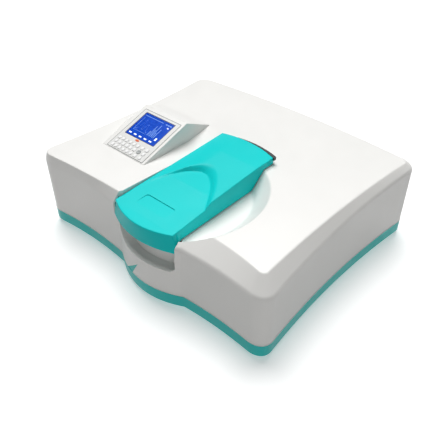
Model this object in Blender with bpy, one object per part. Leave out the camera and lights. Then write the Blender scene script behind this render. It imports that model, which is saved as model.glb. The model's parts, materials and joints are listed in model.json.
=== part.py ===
"""Benchtop spectrophotometer: a white case on a teal tray, with a hinged sample lid over a sunken
dish and a raised console. Metres, +Z up, front towards -Y, origin under the middle of the case."""

import math

import bmesh
import bpy
from mathutils import Matrix, Vector

MM = 0.001
GAP = 0.3 * MM
WELD = 0.001 * MM

# Case, seen from above
WIDTH = 500 * MM
LEFT_X = -WIDTH / 2
RIGHT_X = LEFT_X + WIDTH
FRONT_Y = -200.6 * MM
REAR_Y = 207.5 * MM
REAR_BOW = 9.0 * MM
SIDE_SAG = 13.5 * MM
FRONT_LEFT_SAG = 7.1 * MM
FRONT_RIGHT_SAG = 4.4 * MM
BULGE_LEFT = Vector((-51 * MM, -193.5 * MM))
BULGE_RIGHT = Vector((95 * MM, -197.5 * MM))
BULGE_BOW = 21.0 * MM
WALL_TRIMS = (33 * MM, 33 * MM, 33 * MM, 33 * MM)
TOP_TRIMS = (26 * MM, 14 * MM, 14 * MM, 26 * MM)
# Top edge, inset from the walls
TOP_FRONT_LEFT = Vector((-243.0 * MM, -194.5 * MM))
TOP_FRONT_RIGHT = Vector((226.5 * MM, -177.0 * MM))
TOP_REAR_RIGHT = Vector((234.5 * MM, 192.0 * MM))
TOP_REAR_LEFT = Vector((-240.0 * MM, 199.5 * MM))
TOP_FRONT_MIDDLE = Vector((0.0, -180.6 * MM))
TOP_FRONT_LEFT_SAG = 3.4 * MM
TOP_FRONT_RIGHT_SAG = 14.3 * MM
TOP_RIGHT_SAG = 8.0 * MM
TOP_LEFT_SAG = 10.0 * MM
TOP_REAR_BOW = 14.0 * MM
# Heights
FOOT_HEIGHT = 6 * MM
TRAY_BOTTOM = FOOT_HEIGHT + GAP
SPLIT = 29.8 * MM
TOP = 145.7 * MM
CREASE = {"front_left": 130 * MM, "front_right": 121 * MM, "rear_right": 136 * MM, "rear_left": 139 * MM}
SHELL = 3 * MM
SIDE_STEPS = 16
CORNER_STEPS = 6

# Sunken dish round the lid, and the finger recess in the bulge
DISH_CENTRE = Vector((12.6 * MM, -102.5 * MM))
DISH_RIM = 130.6 * MM
DISH_FLOOR_RADIUS = 104.7 * MM
DISH_FLOOR = 120 * MM
DISH_SIDE_MARGIN = 1.5 * MM
BULGE_CENTRE = Vector((22 * MM, -79.5 * MM))
RECESS_BACK_RADIUS = 117 * MM
RECESS_LEFT = -36 * MM
RECESS_RIGHT = 85 * MM
RECESS_LEDGE = 76 * MM
RECESS_SLOPE = 14 * MM

# Lid
LID_FRONT_LEFT = Vector((-50 * MM, -192.5 * MM))
LID_FRONT_RIGHT = Vector((77 * MM, -194.5 * MM))
LID_REAR_LEFT = Vector((-41 * MM, 40.5 * MM))
LID_REAR_RIGHT = Vector((75 * MM, 35.5 * MM))
LID_FRONT_BOW = 17.5 * MM
LID_REAR_BOW = 10.0 * MM
LID_WALL = 3 * MM
LID_REAR_TOP = 158 * MM
LID_SHOULDER_TOP = 154.5 * MM
LID_FRONT_BACK_TOP = 142 * MM
LID_FRONT_TOP = 138.5 * MM
LID_CREST = {"middle": 14 * MM, "top": -42 * MM, "left": (51 * MM, 73 * MM), "right": (62 * MM, 72 * MM)}
LID_FOOT = {"middle": 10 * MM, "top": -59 * MM, "left": (50 * MM, 51 * MM), "right": (67 * MM, 70 * MM)}
LID_ARCH_POWER = 1.75
LID_STEP_LENGTH = 5 * MM
LID_LEFT_BLEND = 0.38
LID_FLARE = 7.5 * MM
LID_FLARE_BACK = -179 * MM
LID_BEVEL_DROP = 4 * MM
LID_SKIRT_FRONT = 105 * MM
LID_SKIRT_FRONT_Y = -186 * MM
LID_CLEARANCE = 1.6 * MM
LID_SLOT_MARGIN = 1.5 * MM
LID_SLOT_BACK = -177 * MM
LID_ACROSS = 12
LID_ALONG = 32
HINGE = Vector((17 * MM, 45 * MM, 153.2 * MM))
HINGE_PIN_RADIUS = 1.5 * MM
HINGE_PIN_HALF = 24 * MM
BRACKET_OFFSET = 18 * MM
BRACKET_WIDTH = 6 * MM
BRACKET_HEAD = 2.9 * MM

# Console, whose panel slopes up to the rear
PANEL_CORNER = Vector((-177 * MM, -108.5 * MM, 146.4 * MM))
PANEL_SLOPE = math.radians(18.5)
PANEL_SIZE = (90 * MM, 99 * MM)
PANEL_MARGIN = (2 * MM, 1.2 * MM)
PANEL_THICKNESS = 2.4 * MM
CONSOLE_RIDGE = 108 * MM
CONSOLE_LEFT = -7 * MM
CONSOLE_RIGHT = 97.5 * MM
DISPLAY_LOW = (11 * MM, 38.5 * MM)
DISPLAY_HIGH = (82.5 * MM, 94 * MM)
KEY_COLUMNS = [11.3 * MM + column * 9.25 * MM for column in range(6)] + [68.7 * MM, 80.4 * MM]
KEY_ROWS = [7.2 * MM, 16.4 * MM, 25.6 * MM]
KEY_SIZE = (5.6 * MM, 5.8 * MM)
KEY_STANDS = 1.3 * MM
KEY_DEPTH = 4.6 * MM
KEY_PLAY = 0.35 * MM
ROUND_KEY = (6, 1)
ROUND_KEY_RADIUS = 4.1 * MM
KEY_BOARD_DROP = 7.5 * MM

# Sample compartment
TUB_LOW = Vector((-34 * MM, -171 * MM, 24 * MM))
TUB_HIGH = Vector((65 * MM, -19 * MM, 119 * MM))
TUB_WALL = 2 * MM
TUB_FLANGE = 3.5 * MM
TUB_FLANGE_THICKNESS = 2 * MM
BEAM = Vector((0, -95 * MM, 82 * MM))
BEAM_RADIUS = 6 * MM
CUVETTE_PITCH = 18 * MM
CUVETTE_PLACES = 4
CUVETTE_SIDE = 12.4 * MM
CUVETTE_HEIGHT = 45 * MM
CUVETTE_FLOOR = 48 * MM
CARRIAGE_X = 8 * MM
CARRIAGE_WIDTH = 26 * MM
CARRIAGE_HEIGHT = 42 * MM
CARRIAGE_BOTTOM = 32 * MM
NUT_X = 36 * MM
SCREW_RADIUS = 2.5 * MM
SCREW_HEIGHT = 42 * MM

# Inside the case
PLATE_LOW = Vector((-212 * MM, 2 * MM, 12 * MM))
PLATE_HIGH = Vector((212 * MM, 176 * MM, 20 * MM))
OPTICS_Z = PLATE_HIGH.z + GAP
LAMP_CENTRE = Vector((165 * MM, 50 * MM))
GRATING_CENTRE = Vector((-20 * MM, 120 * MM))
SOURCE_MIRROR_CENTRE = Vector((150 * MM, 125 * MM))
FILTER_WHEEL = Vector((95 * MM, 125 * MM, 75 * MM))
FILTER_WHEEL_RADIUS = 24 * MM
MIRROR_CENTRE = Vector((-100 * MM, 140 * MM))
FAN_CENTRE = Vector((60 * MM, 194 * MM, 78 * MM))
FAN_SIDE = 60 * MM
FAN_DEPTH = 20 * MM
INLET_CENTRE = Vector((-150 * MM, 0, 70 * MM))
SWITCH_CENTRE = Vector((-105 * MM, 0, 70 * MM))
PORT_CENTRE = Vector((-55 * MM, 0, 70 * MM))
ROCKER_PIVOT_DEPTH = 4.5 * MM
ROCKER_TILT = math.radians(-7)

COLOURS = {
    "white_plastic": ((0.83, 0.83, 0.80), 0.35, 0.0),
    "teal_plastic": ((0.03, 0.52, 0.50), 0.30, 0.0),
    "lid_plastic": ((0.01, 0.62, 0.60), 0.28, 0.0),
    "panel_film": ((0.72, 0.72, 0.70), 0.40, 0.0),
    "key_rubber": ((0.88, 0.88, 0.88), 0.55, 0.0),
    "grey_key": ((0.40, 0.42, 0.42), 0.50, 0.0),
    "display_glass": ((0.03, 0.10, 0.60), 0.10, 0.0),
    "black_plastic": ((0.03, 0.03, 0.03), 0.50, 0.0),
    "rubber": ((0.05, 0.05, 0.05), 0.90, 0.0),
    "steel": ((0.60, 0.60, 0.60), 0.30, 1.0),
    "black_metal": ((0.04, 0.04, 0.045), 0.45, 0.0),
    "circuit_board": ((0.02, 0.20, 0.06), 0.50, 0.0),
    "quartz": ((0.85, 0.90, 0.92), 0.05, 0.0),
    "mirror": ((0.90, 0.90, 0.90), 0.05, 1.0),
}


def clear_scene():
    for old in list(bpy.data.objects):
        bpy.data.objects.remove(old, do_unlink=True)


def material(name):
    """The Principled material of this name, made once."""
    made = bpy.data.materials.get(name)
    if made:
        return made
    colour, roughness, metallic = COLOURS[name]
    made = bpy.data.materials.new(name)
    made.use_nodes = True
    shader = made.node_tree.nodes["Principled BSDF"]
    shader.inputs["Base Color"].default_value = (*colour, 1)
    shader.inputs["Roughness"].default_value = roughness
    shader.inputs["Metallic"].default_value = metallic
    return made


def add_object(name, mesh_builder, finish, round_piece=False):
    """A scene object holding the bmesh, which is freed."""
    bmesh.ops.recalc_face_normals(mesh_builder, faces=mesh_builder.faces)
    mesh = bpy.data.meshes.new(name)
    mesh_builder.to_mesh(mesh)
    mesh_builder.free()
    if round_piece:
        mesh.shade_smooth()
        mesh.set_sharp_from_angle(angle=math.radians(40))
    mesh.materials.append(material(finish))
    made = bpy.data.objects.new(name, mesh)
    bpy.context.scene.collection.objects.link(made)
    return made


def set_origin(piece, point):
    """Moves the object's origin to the point and leaves its shape where it is."""
    piece.data.transform(Matrix.Translation(-Vector(point)))
    piece.location = point
    return piece


def weld(mesh):
    """Makes points closer than WELD one, and drops the slivers this leaves."""
    shape = bmesh.new()
    shape.from_mesh(mesh)
    bmesh.ops.remove_doubles(shape, verts=shape.verts, dist=WELD)
    bmesh.ops.dissolve_degenerate(shape, edges=shape.edges, dist=WELD)
    shape.to_mesh(mesh)
    shape.free()


def apply_boolean(body, tool, operation):
    """Joins the tool to the body or cuts it away, and removes the tool."""
    step = body.modifiers.new(operation.lower(), "BOOLEAN")
    step.operation = operation
    step.object = tool
    graph = bpy.context.evaluated_depsgraph_get()
    made = bpy.data.meshes.new_from_object(body.evaluated_get(graph))
    body.modifiers.clear()
    body.data = made
    weld(made)
    bpy.data.objects.remove(tool, do_unlink=True)
    return body


def cut(body, tool):
    return apply_boolean(body, tool, "DIFFERENCE")


def join(body, tool):
    return apply_boolean(body, tool, "UNION")


def box(low, high, name="tool", finish="steel"):
    low, high = Vector(low), Vector(high)
    shape = bmesh.new()
    bmesh.ops.create_cube(shape, size=1)
    bmesh.ops.scale(shape, vec=high - low, verts=shape.verts)
    bmesh.ops.translate(shape, vec=(low + high) / 2, verts=shape.verts)
    return add_object(name, shape, finish)


def cylinder(centre, axis, radius, length, name="tool", finish="steel", sides=24, far_radius=None):
    """A cylinder, or a cone when far_radius is given, centred on the point and along the axis."""
    shape = bmesh.new()
    bmesh.ops.create_cone(
        shape, cap_ends=True, segments=sides, depth=length,
        radius1=radius, radius2=radius if far_radius is None else far_radius,
    )
    turn = Vector(axis).to_track_quat("Z", "Y").to_matrix().to_4x4()
    bmesh.ops.transform(shape, matrix=Matrix.Translation(Vector(centre)) @ turn, verts=shape.verts)
    return add_object(name, shape, finish, round_piece=True)


def prism(outline, bottom, top, name="tool", finish="steel"):
    """An upright solid on a flat outline of (x, y) points."""
    shape = bmesh.new()
    ring = [shape.verts.new((x, y, bottom)) for x, y in outline]
    face = shape.faces.new(ring)
    raised = bmesh.ops.extrude_face_region(shape, geom=[face])["geom"]
    moved = [item for item in raised if isinstance(item, bmesh.types.BMVert)]
    bmesh.ops.translate(shape, vec=(0, 0, top - bottom), verts=moved)
    return add_object(name, shape, finish)


def hull(points, name="tool", finish="steel"):
    shape = bmesh.new()
    for point in points:
        shape.verts.new(point)
    bmesh.ops.convex_hull(shape, input=shape.verts)
    return add_object(name, shape, finish)


def skin(rings, name, finish):
    """A closed solid through rings of points that match one to one, with its two ends filled."""
    shape = bmesh.new()
    rows = [[shape.verts.new(point) for point in ring] for ring in rings]
    count = len(rows[0])
    for lower, upper in zip(rows, rows[1:]):
        for i in range(count):
            j = (i + 1) % count
            shape.faces.new((lower[i], lower[j], upper[j], upper[i]))
    shape.faces.new(rows[0])
    shape.faces.new(rows[-1])
    bmesh.ops.triangulate(shape, faces=shape.faces)
    return add_object(name, shape, finish)


def bowed(start, end, bow, share):
    """The point at this share of a shallow arc, bowed to the left of its direction."""
    along = end - start
    left = Vector((-along.y, along.x)).normalized()
    return start + along * share + left * bow * 4 * share * (1 - share)


def front_wall(share):
    """A point of the front wall: a hollow arc, the bulge, and a second hollow arc."""
    x = LEFT_X + WIDTH * share
    corner_left = Vector((LEFT_X, FRONT_Y))
    corner_right = Vector((RIGHT_X, FRONT_Y))
    stretches = (
        (corner_left, BULGE_LEFT, FRONT_LEFT_SAG),
        (BULGE_LEFT, BULGE_RIGHT, -BULGE_BOW),
        (BULGE_RIGHT, corner_right, FRONT_RIGHT_SAG),
    )
    for start, end, bow in stretches:
        if x <= end.x + 1e-9:
            return bowed(start, end, bow, (x - start.x) / (end.x - start.x))
    return corner_right


def front_top(share):
    """A point of the top face's front edge, two hollow arcs that meet in the middle."""
    x = TOP_FRONT_LEFT.x + (TOP_FRONT_RIGHT.x - TOP_FRONT_LEFT.x) * share
    if x < TOP_FRONT_MIDDLE.x:
        part = (x - TOP_FRONT_LEFT.x) / (TOP_FRONT_MIDDLE.x - TOP_FRONT_LEFT.x)
        return bowed(TOP_FRONT_LEFT, TOP_FRONT_MIDDLE, TOP_FRONT_LEFT_SAG, part)
    part = (x - TOP_FRONT_MIDDLE.x) / (TOP_FRONT_RIGHT.x - TOP_FRONT_MIDDLE.x)
    return bowed(TOP_FRONT_MIDDLE, TOP_FRONT_RIGHT, TOP_FRONT_RIGHT_SAG, part)


def rounded_corner(start, corner, end, steps):
    """Points between start and end of an arc-like curve pulled towards the corner."""
    pull = 0.75
    points = []
    for i in range(1, steps):
        t = i / steps
        weights = ((1 - t) ** 2, 2 * t * (1 - t) * pull, t * t)
        total = sum(weights)
        points.append((start * weights[0] + corner * weights[1] + end * weights[2]) / total)
    return points


def side_shares(start_trim, end_trim, extra=()):
    """Even shares along a side from one trimmed end to the other, with the extra stops."""
    spacing = (1 - start_trim - end_trim) / SIDE_STEPS
    even = [start_trim + spacing * i for i in range(SIDE_STEPS + 1)]
    kept = [share for share in even if all(abs(share - stop) > spacing / 2 for stop in extra)]
    return sorted(kept + list(extra))


def outline(front, corners, bows, trims):
    """The case's outline, counter-clockwise from the front left: four sides and four round corners."""
    front_left, front_right, rear_right, rear_left = corners
    curves = (
        front,
        lambda share: bowed(front_right, rear_right, bows[0], share),
        lambda share: bowed(rear_right, rear_left, bows[1], share),
        lambda share: bowed(rear_left, front_left, bows[2], share),
    )
    stops = [(point.x - LEFT_X) / WIDTH for point in (BULGE_LEFT, BULGE_RIGHT)]
    runs = []
    for i, curve in enumerate(curves):
        start_trim, end_trim = trims[i] / WIDTH, trims[(i + 1) % 4] / WIDTH
        runs.append([curve(share) for share in side_shares(start_trim, end_trim, stops if i == 0 else ())])
    points = []
    for i, run in enumerate(runs):
        following = runs[(i + 1) % 4]
        points += run
        points += rounded_corner(run[-1], corners[(i + 1) % 4], following[0], CORNER_STEPS)
    return points


def wall_outline():
    corners = [
        Vector((LEFT_X, FRONT_Y)), Vector((RIGHT_X, FRONT_Y)),
        Vector((RIGHT_X, REAR_Y)), Vector((LEFT_X, REAR_Y)),
    ]
    return outline(front_wall, corners, (SIDE_SAG, -REAR_BOW, SIDE_SAG), WALL_TRIMS)


def top_outline():
    corners = [TOP_FRONT_LEFT, TOP_FRONT_RIGHT, TOP_REAR_RIGHT, TOP_REAR_LEFT]
    return outline(front_top, corners, (TOP_RIGHT_SAG, -TOP_REAR_BOW, TOP_LEFT_SAG), TOP_TRIMS)


def inset(points, distance):
    """The outline moved inwards by the distance."""
    moved = []
    for i, point in enumerate(points):
        along = (points[(i + 1) % len(points)] - points[i - 1]).normalized()
        moved.append(point + Vector((-along.y, along.x)) * distance)
    return moved


def crease_height(point):
    """Height of the fold between the wall and the sloping band, which differs from corner to corner."""
    across = min(max((point.x - LEFT_X) / WIDTH, 0), 1)
    back = min(max((point.y - FRONT_Y) / (REAR_Y - FRONT_Y), 0), 1)
    front = CREASE["front_left"] * (1 - across) + CREASE["front_right"] * across
    rear = CREASE["rear_left"] * (1 - across) + CREASE["rear_right"] * across
    return front * (1 - back) + rear * back


def raised(points, height):
    """The outline at a height, which may be a function of the point."""
    return [(*point, height(point) if callable(height) else height) for point in points]


def case_solid(name, drop=0.0):
    """The case's outer form as a solid, or its inside when it is moved in by drop."""
    wall = inset(wall_outline(), drop)
    top = inset(top_outline(), drop)
    bottom = SPLIT - drop
    rings = [raised(wall, bottom), raised(wall, lambda point: crease_height(point) - drop / 2)]
    rings.append(raised(top, TOP - drop))
    return skin(rings, name, "white_plastic")


def case_slice(shape):
    """The part of the case's solid form that lies inside the shape."""
    return apply_boolean(case_solid("slice"), shape, "INTERSECT")


def console_point(across, up, out=0.0):
    """A place on the console's panel: across it, up its slope and out from it."""
    sine, cosine = math.sin(PANEL_SLOPE), math.cos(PANEL_SLOPE)
    return PANEL_CORNER + Vector((across, up * cosine - out * sine, up * sine + out * cosine))


def console_turn():
    return Matrix.Rotation(PANEL_SLOPE, 4, "X")


def console_box(low, high, bottom, top, name="tool", finish="steel"):
    """A box in the console's panel frame."""
    made = box((*low, bottom), (*high, top), name, finish)
    made.data.transform(Matrix.Translation(PANEL_CORNER) @ console_turn())
    return made


def console_form(shrink):
    """The raised console, wider at its foot on the left and falling away to the rear."""
    ridge = [console_point(CONSOLE_LEFT + shrink, CONSOLE_RIDGE - shrink, -shrink),
             console_point(CONSOLE_RIGHT - shrink, CONSOLE_RIDGE - shrink, -shrink)]
    front = [console_point(CONSOLE_LEFT + shrink, -1 * MM + shrink, -shrink),
             console_point(CONSOLE_RIGHT - shrink, -1 * MM + shrink, -shrink)]
    foot_z = TOP - 2 * MM - 3 * shrink
    foot = [
        (-79 * MM - shrink, -108 * MM + shrink), (-79 * MM - shrink, -3 * MM - shrink),
        (-92 * MM - shrink, 66 * MM - 3 * shrink), (-212 * MM + shrink, 66 * MM - 3 * shrink),
        (-222 * MM + 3 * shrink, -20 * MM), (-186 * MM + shrink, -108 * MM + shrink),
    ]
    return hull(ridge + front + [Vector((x, y, foot_z)) for x, y in foot])


def dish_height(x, y):
    """Height of the dish's surface, or of the case's top outside it."""
    radius = (Vector((x, y)) - DISH_CENTRE).length
    share = (radius - DISH_FLOOR_RADIUS) / (DISH_RIM - DISH_FLOOR_RADIUS)
    return DISH_FLOOR + (TOP - DISH_FLOOR) * min(max(share, 0), 1)


def left_of_lid(margin):
    """A block that reaches to this margin from the lid's left side."""
    along = (LID_REAR_LEFT - LID_FRONT_LEFT).normalized()
    near = LID_FRONT_LEFT - along * DISH_RIM + Vector((-margin, 0))
    far = LID_REAR_LEFT + along * DISH_RIM + Vector((-margin, 0))
    outer = Vector((-WIDTH, 0))
    return prism([near, far, far + outer, near + outer], 0, 2 * TOP)


def dish_cutter():
    """The dish as a cone that widens upwards, carried on above the case and flat beside the lid."""
    rise = 10 * MM
    widening = (DISH_RIM - DISH_FLOOR_RADIUS) / (TOP - DISH_FLOOR)
    height = TOP - DISH_FLOOR + rise
    centre = (*DISH_CENTRE, DISH_FLOOR + height / 2)
    top_radius = DISH_FLOOR_RADIUS + widening * height
    cone = cylinder(centre, (0, 0, 1), DISH_FLOOR_RADIUS, height, sides=72, far_radius=top_radius)
    return cut(cone, left_of_lid(DISH_SIDE_MARGIN))


def arc_prism(centre, radius, bottom, top, sides=96):
    height = top - bottom
    return cylinder((*centre, bottom + height / 2), (0, 0, 1), radius, height, sides=sides)


def recess_cutter():
    """The finger recess in the bulge: a ledge in front of an upright drum wall."""
    above = TOP + 10 * MM
    section = [
        (RECESS_LEFT, above), (RECESS_LEFT, RECESS_LEDGE + 2 * RECESS_SLOPE),
        (RECESS_LEFT + RECESS_SLOPE, RECESS_LEDGE + RECESS_SLOPE / 3),
        (RECESS_LEFT + 2 * RECESS_SLOPE, RECESS_LEDGE), (RECESS_RIGHT - RECESS_SLOPE / 2, RECESS_LEDGE),
        (RECESS_RIGHT, RECESS_LEDGE + RECESS_SLOPE / 2), (RECESS_RIGHT, above),
    ]
    front, back = -250 * MM, -165 * MM
    block = hull([Vector((x, y, z)) for y in (front, back) for x, z in section])
    return cut(block, arc_prism(BULGE_CENTRE, RECESS_BACK_RADIUS, 60 * MM, 170 * MM))


def lid_edge(along):
    """The lid's left and right edges at this share of its length, from the front."""
    left = LID_FRONT_LEFT.lerp(LID_REAR_LEFT, along)
    right = LID_FRONT_RIGHT.lerp(LID_REAR_RIGHT, along)
    return left, right


def lid_place(across, along, margin=0.0):
    """A point of the lid's plan, with the whole plan grown by the margin."""
    left, right = lid_edge(along)
    point = left.lerp(right, across)
    bow = -LID_FRONT_BOW * (1 - along) + LID_REAR_BOW * along
    point.y += bow * 4 * across * (1 - across)
    return point + Vector(((2 * across - 1) * margin, (2 * along - 1) * margin))


def smooth_step(share):
    share = min(max(share, 0), 1)
    return share * share * (3 - 2 * share)


def arch(x, middle, top, left, right):
    """A curve across the lid that falls away on both sides, each side by its (reach, fall)."""
    reach, fall = left if x < middle else right
    return top - fall * (abs(x - middle) / reach) ** LID_ARCH_POWER


def lid_top(point):
    """Height of the lid's top: a high rear and a low front, joined by a scoop that runs out on the left."""
    crest = arch(point.x, **LID_CREST)
    foot = min(arch(point.x, **LID_FOOT), crest - LID_STEP_LENGTH)
    along = (point.y - LID_FRONT_LEFT.y) / (LID_REAR_LEFT.y - LID_FRONT_LEFT.y)
    rear = LID_SHOULDER_TOP + (LID_REAR_TOP - LID_SHOULDER_TOP) * min(max(2 * along - 0.6, 0), 1)
    front = LID_FRONT_TOP + (LID_FRONT_BACK_TOP - LID_FRONT_TOP) * min(max(2.5 * along, 0), 1)
    left, right = lid_edge(along)
    near_left = 1 - smooth_step((point.x - left.x) / (right.x - left.x) / LID_LEFT_BLEND)
    straight = LID_FRONT_TOP + (LID_REAR_TOP - LID_FRONT_TOP) * along
    rear += (straight - rear) * near_left
    front += (straight - front) * near_left
    share = smooth_step((point.y - foot) / (crest - foot))
    return front + (rear - front) * share


def lid_bottom(point):
    """Height of the lid's lower edge, which follows the dish and drops in front of it."""
    if point.y < LID_SKIRT_FRONT_Y:
        return LID_SKIRT_FRONT
    return dish_height(point.x, point.y) + LID_CLEARANCE


def wall_place(across, along, margin=0.0):
    """A point of the lid's skirt in plan, which flares out sideways at the front."""
    place = lid_place(across, along, margin)
    share = (LID_FLARE_BACK - lid_place(across, along).y) / (LID_FLARE_BACK - LID_FRONT_LEFT.y)
    place.x += (2 * across - 1) * LID_FLARE * min(max(share, 0), 1)
    return place


def lid_grid(margin, drop):
    return [
        [(*place, lid_top(place) - drop)
         for place in (lid_place(i / LID_ACROSS, j / LID_ALONG, margin) for i in range(LID_ACROSS + 1))]
        for j in range(LID_ALONG + 1)
    ]


def lid_rim():
    """Grid indices round the lid's edge, counter-clockwise from the front left."""
    rim = [(i, 0) for i in range(LID_ACROSS)] + [(LID_ACROSS, j) for j in range(LID_ALONG)]
    rim += [(i, LID_ALONG) for i in range(LID_ACROSS, 0, -1)] + [(0, j) for j in range(LID_ALONG, 0, -1)]
    return rim


def skirt_rings(shape, grid, margin, drop):
    """The skirt's rings from the top's edge down: the edge itself, the bevel's foot and the lower rim."""
    bevel, low = [], []
    for i, j in lid_rim():
        across, along = i / LID_ACROSS, j / LID_ALONG
        place = wall_place(across, along, margin)
        bevel.append(shape.verts.new((*place, lid_top(lid_place(across, along)) - drop - LID_BEVEL_DROP)))
        low.append(shape.verts.new((*place, lid_bottom(wall_place(across, along)))))
    return [[grid[j][i] for i, j in lid_rim()], bevel, low]


def sample_lid():
    """The lid as one thin moulding: a top, an underside and skirts all round, open below."""
    shape = bmesh.new()
    skirts = []
    for margin, drop in ((0, 0), (-LID_WALL, LID_WALL)):
        grid = [[shape.verts.new(point) for point in row] for row in lid_grid(margin, drop)]
        for j in range(LID_ALONG):
            for i in range(LID_ACROSS):
                shape.faces.new((grid[j][i], grid[j][i + 1], grid[j + 1][i + 1], grid[j + 1][i]))
        skirts.append(skirt_rings(shape, grid, margin, drop))
    outer, inner = skirts
    rings = outer + inner[::-1]
    count = len(outer[0])
    for upper, lower in zip(rings, rings[1:]):
        for k in range(count):
            n = (k + 1) % count
            shape.faces.new((upper[k], upper[n], lower[n], lower[k]))
    lid = add_object("sample_lid", shape, "lid_plastic")
    join_hinge_boss(lid)
    return set_origin(lid, HINGE)


def join_hinge_boss(lid):
    """A boss between the brackets that carries the pin, and a notch in the skirt for each bracket."""
    boss_half = BRACKET_OFFSET - BRACKET_WIDTH / 2 - 2 * GAP
    low = HINGE + Vector((-boss_half, -3 * MM, -3 * MM))
    high = HINGE + Vector((boss_half, 3 * MM, 3.2 * MM))
    join(lid, box(low, high))
    for side in (-1, 1):
        middle = HINGE + Vector((side * BRACKET_OFFSET, 0, 0))
        half = Vector((BRACKET_WIDTH / 2 + 2 * GAP, 8 * MM, 0))
        cut(lid, box(middle - half - Vector((0, 0, 12 * MM)), middle + half))
        head = BRACKET_HEAD + 2 * GAP
        cut(lid, cylinder(middle, (1, 0, 0), head, 2 * half.x))
        cut(lid, box(middle - Vector((half.x, 0, MM)), middle + Vector((half.x, half.y, head))))
    cut(lid, cylinder(HINGE, (1, 0, 0), HINGE_PIN_RADIUS + GAP, 2 * HINGE_PIN_HALF + 2 * MM))


def hinge_pin():
    cylinder(HINGE, (1, 0, 0), HINGE_PIN_RADIUS, 2 * HINGE_PIN_HALF, "hinge_pin", sides=16)


def hinge_bracket(side, name):
    """An upright leaf on the case's top whose round head holds the pin."""
    middle = HINGE + Vector((side * BRACKET_OFFSET, 0, 0))
    half = BRACKET_WIDTH / 2
    stem_low = Vector((middle.x - half, middle.y - BRACKET_HEAD * 0.9, TOP + GAP))
    stem_high = Vector((middle.x + half, middle.y + BRACKET_HEAD * 0.9, middle.z))
    leaf = box(stem_low, stem_high, name)
    join(leaf, cylinder(middle, (1, 0, 0), BRACKET_HEAD, BRACKET_WIDTH))
    cut(leaf, cylinder(middle, (1, 0, 0), HINGE_PIN_RADIUS + GAP, 2 * BRACKET_WIDTH, sides=16))


def lid_slot_cutter():
    """The place in the case's front that the lid's deep front skirt hangs in."""
    front = LID_SLOT_BACK - 60 * MM
    points = []
    for corner, side in ((LID_FRONT_LEFT, -1), (LID_FRONT_RIGHT, 1)):
        back = Vector((corner.x + side * LID_SLOT_MARGIN, LID_SLOT_BACK))
        wide = Vector((back.x + side * LID_FLARE, corner.y))
        stretch = [back, wide, Vector((wide.x, front))]
        points += stretch[::side * -1]
    return prism(points, LID_SKIRT_FRONT - LID_CLEARANCE, TOP + 10 * MM)


def top_case():
    """The white moulding: shell, dish, bulge with its recess, and raised console."""
    case = cut(case_solid("top_case"), case_solid("inside", SHELL))
    backing = arc_prism(DISH_CENTRE, DISH_RIM + SHELL, DISH_FLOOR - SHELL, TOP + MM)
    cut(backing, left_of_lid(DISH_SIDE_MARGIN + SHELL))
    join(case, case_slice(backing))
    backing_low = Vector((LID_FRONT_LEFT.x - 2 * SHELL, -240 * MM, RECESS_LEDGE - SHELL))
    backing_high = Vector((RECESS_RIGHT + 2 * SHELL, -181 * MM, DISH_FLOOR + 2 * MM))
    join(case, case_slice(box(backing_low, backing_high)))
    join(case, console_form(0))
    cut(case, console_form(SHELL))
    cut(case, dish_cutter())
    cut(case, recess_cutter())
    cut(case, lid_slot_cutter())
    cut(case, box(TUB_LOW - Vector((1, 1, 0)) * MM, Vector((TUB_HIGH.x + MM, TUB_HIGH.y + MM, TOP))))
    cut_panel_opening(case)
    cut_rear_openings(case)
    return case


def cut_panel_opening(case):
    """The hole in the console that the panel drops into."""
    low = (PANEL_MARGIN[0] - GAP, PANEL_MARGIN[1] - GAP)
    high = (PANEL_MARGIN[0] + PANEL_SIZE[0] + GAP, PANEL_MARGIN[1] + PANEL_SIZE[1] + GAP)
    cut(case, console_box(low, high, -2.8 * MM, 8 * MM))
    ledge = 3 * MM
    low = (low[0] + ledge, low[1] + ledge)
    high = (high[0] - ledge, high[1] - ledge)
    cut(case, console_box(low, high, -12 * MM, 0))


def rear_wall(x):
    """The outside of the rear wall at this x."""
    share = (RIGHT_X - x) / WIDTH
    return bowed(Vector((RIGHT_X, REAR_Y)), Vector((LEFT_X, REAR_Y)), -REAR_BOW, share).y


REAR_FITTINGS = {
    "power_inlet": (INLET_CENTRE, 27 * MM, 20 * MM),
    "power_switch": (SWITCH_CENTRE, 20 * MM, 26 * MM),
    "data_port": (PORT_CENTRE, 32 * MM, 13 * MM),
}


def cut_rear_openings(case):
    """Holes for the inlet, switch and port, and vent slots behind the fan."""
    for centre, width, height in REAR_FITTINGS.values():
        half = Vector((width / 2 + GAP, 20 * MM, height / 2 + GAP))
        middle = Vector((centre.x, rear_wall(centre.x), centre.z))
        cut(case, box(middle - half, middle + half))
    slots = 5
    for i in range(slots):
        z = FAN_CENTRE.z + (i - (slots - 1) / 2) * 10 * MM
        low = (FAN_CENTRE.x - FAN_SIDE / 2 + 4 * MM, REAR_Y - 20 * MM, z - 2.5 * MM)
        high = (FAN_CENTRE.x + FAN_SIDE / 2 - 4 * MM, REAR_Y + 20 * MM, z + 2.5 * MM)
        cut(case, box(low, high))


def base_tray():
    """The teal tray: the same outline as the case, with a floor."""
    wall = wall_outline()
    top = SPLIT - GAP
    tray = skin([raised(wall, TRAY_BOTTOM), raised(wall, top)], "base_tray", "teal_plastic")
    inside = inset(wall, SHELL)
    hollow = skin([raised(inside, TRAY_BOTTOM + SHELL), raised(inside, top + 10 * MM)], "tool", "steel")
    return cut(tray, hollow)


def feet():
    places = {
        "foot_front_left": (-205, -165), "foot_front_right": (205, -165),
        "foot_rear_left": (-205, 170), "foot_rear_right": (205, 170),
    }
    for name, (x, y) in places.items():
        centre = (x * MM, y * MM, FOOT_HEIGHT / 2)
        cylinder(centre, (0, 0, 1), 11 * MM, FOOT_HEIGHT, name, "rubber", far_radius=13 * MM)


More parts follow.
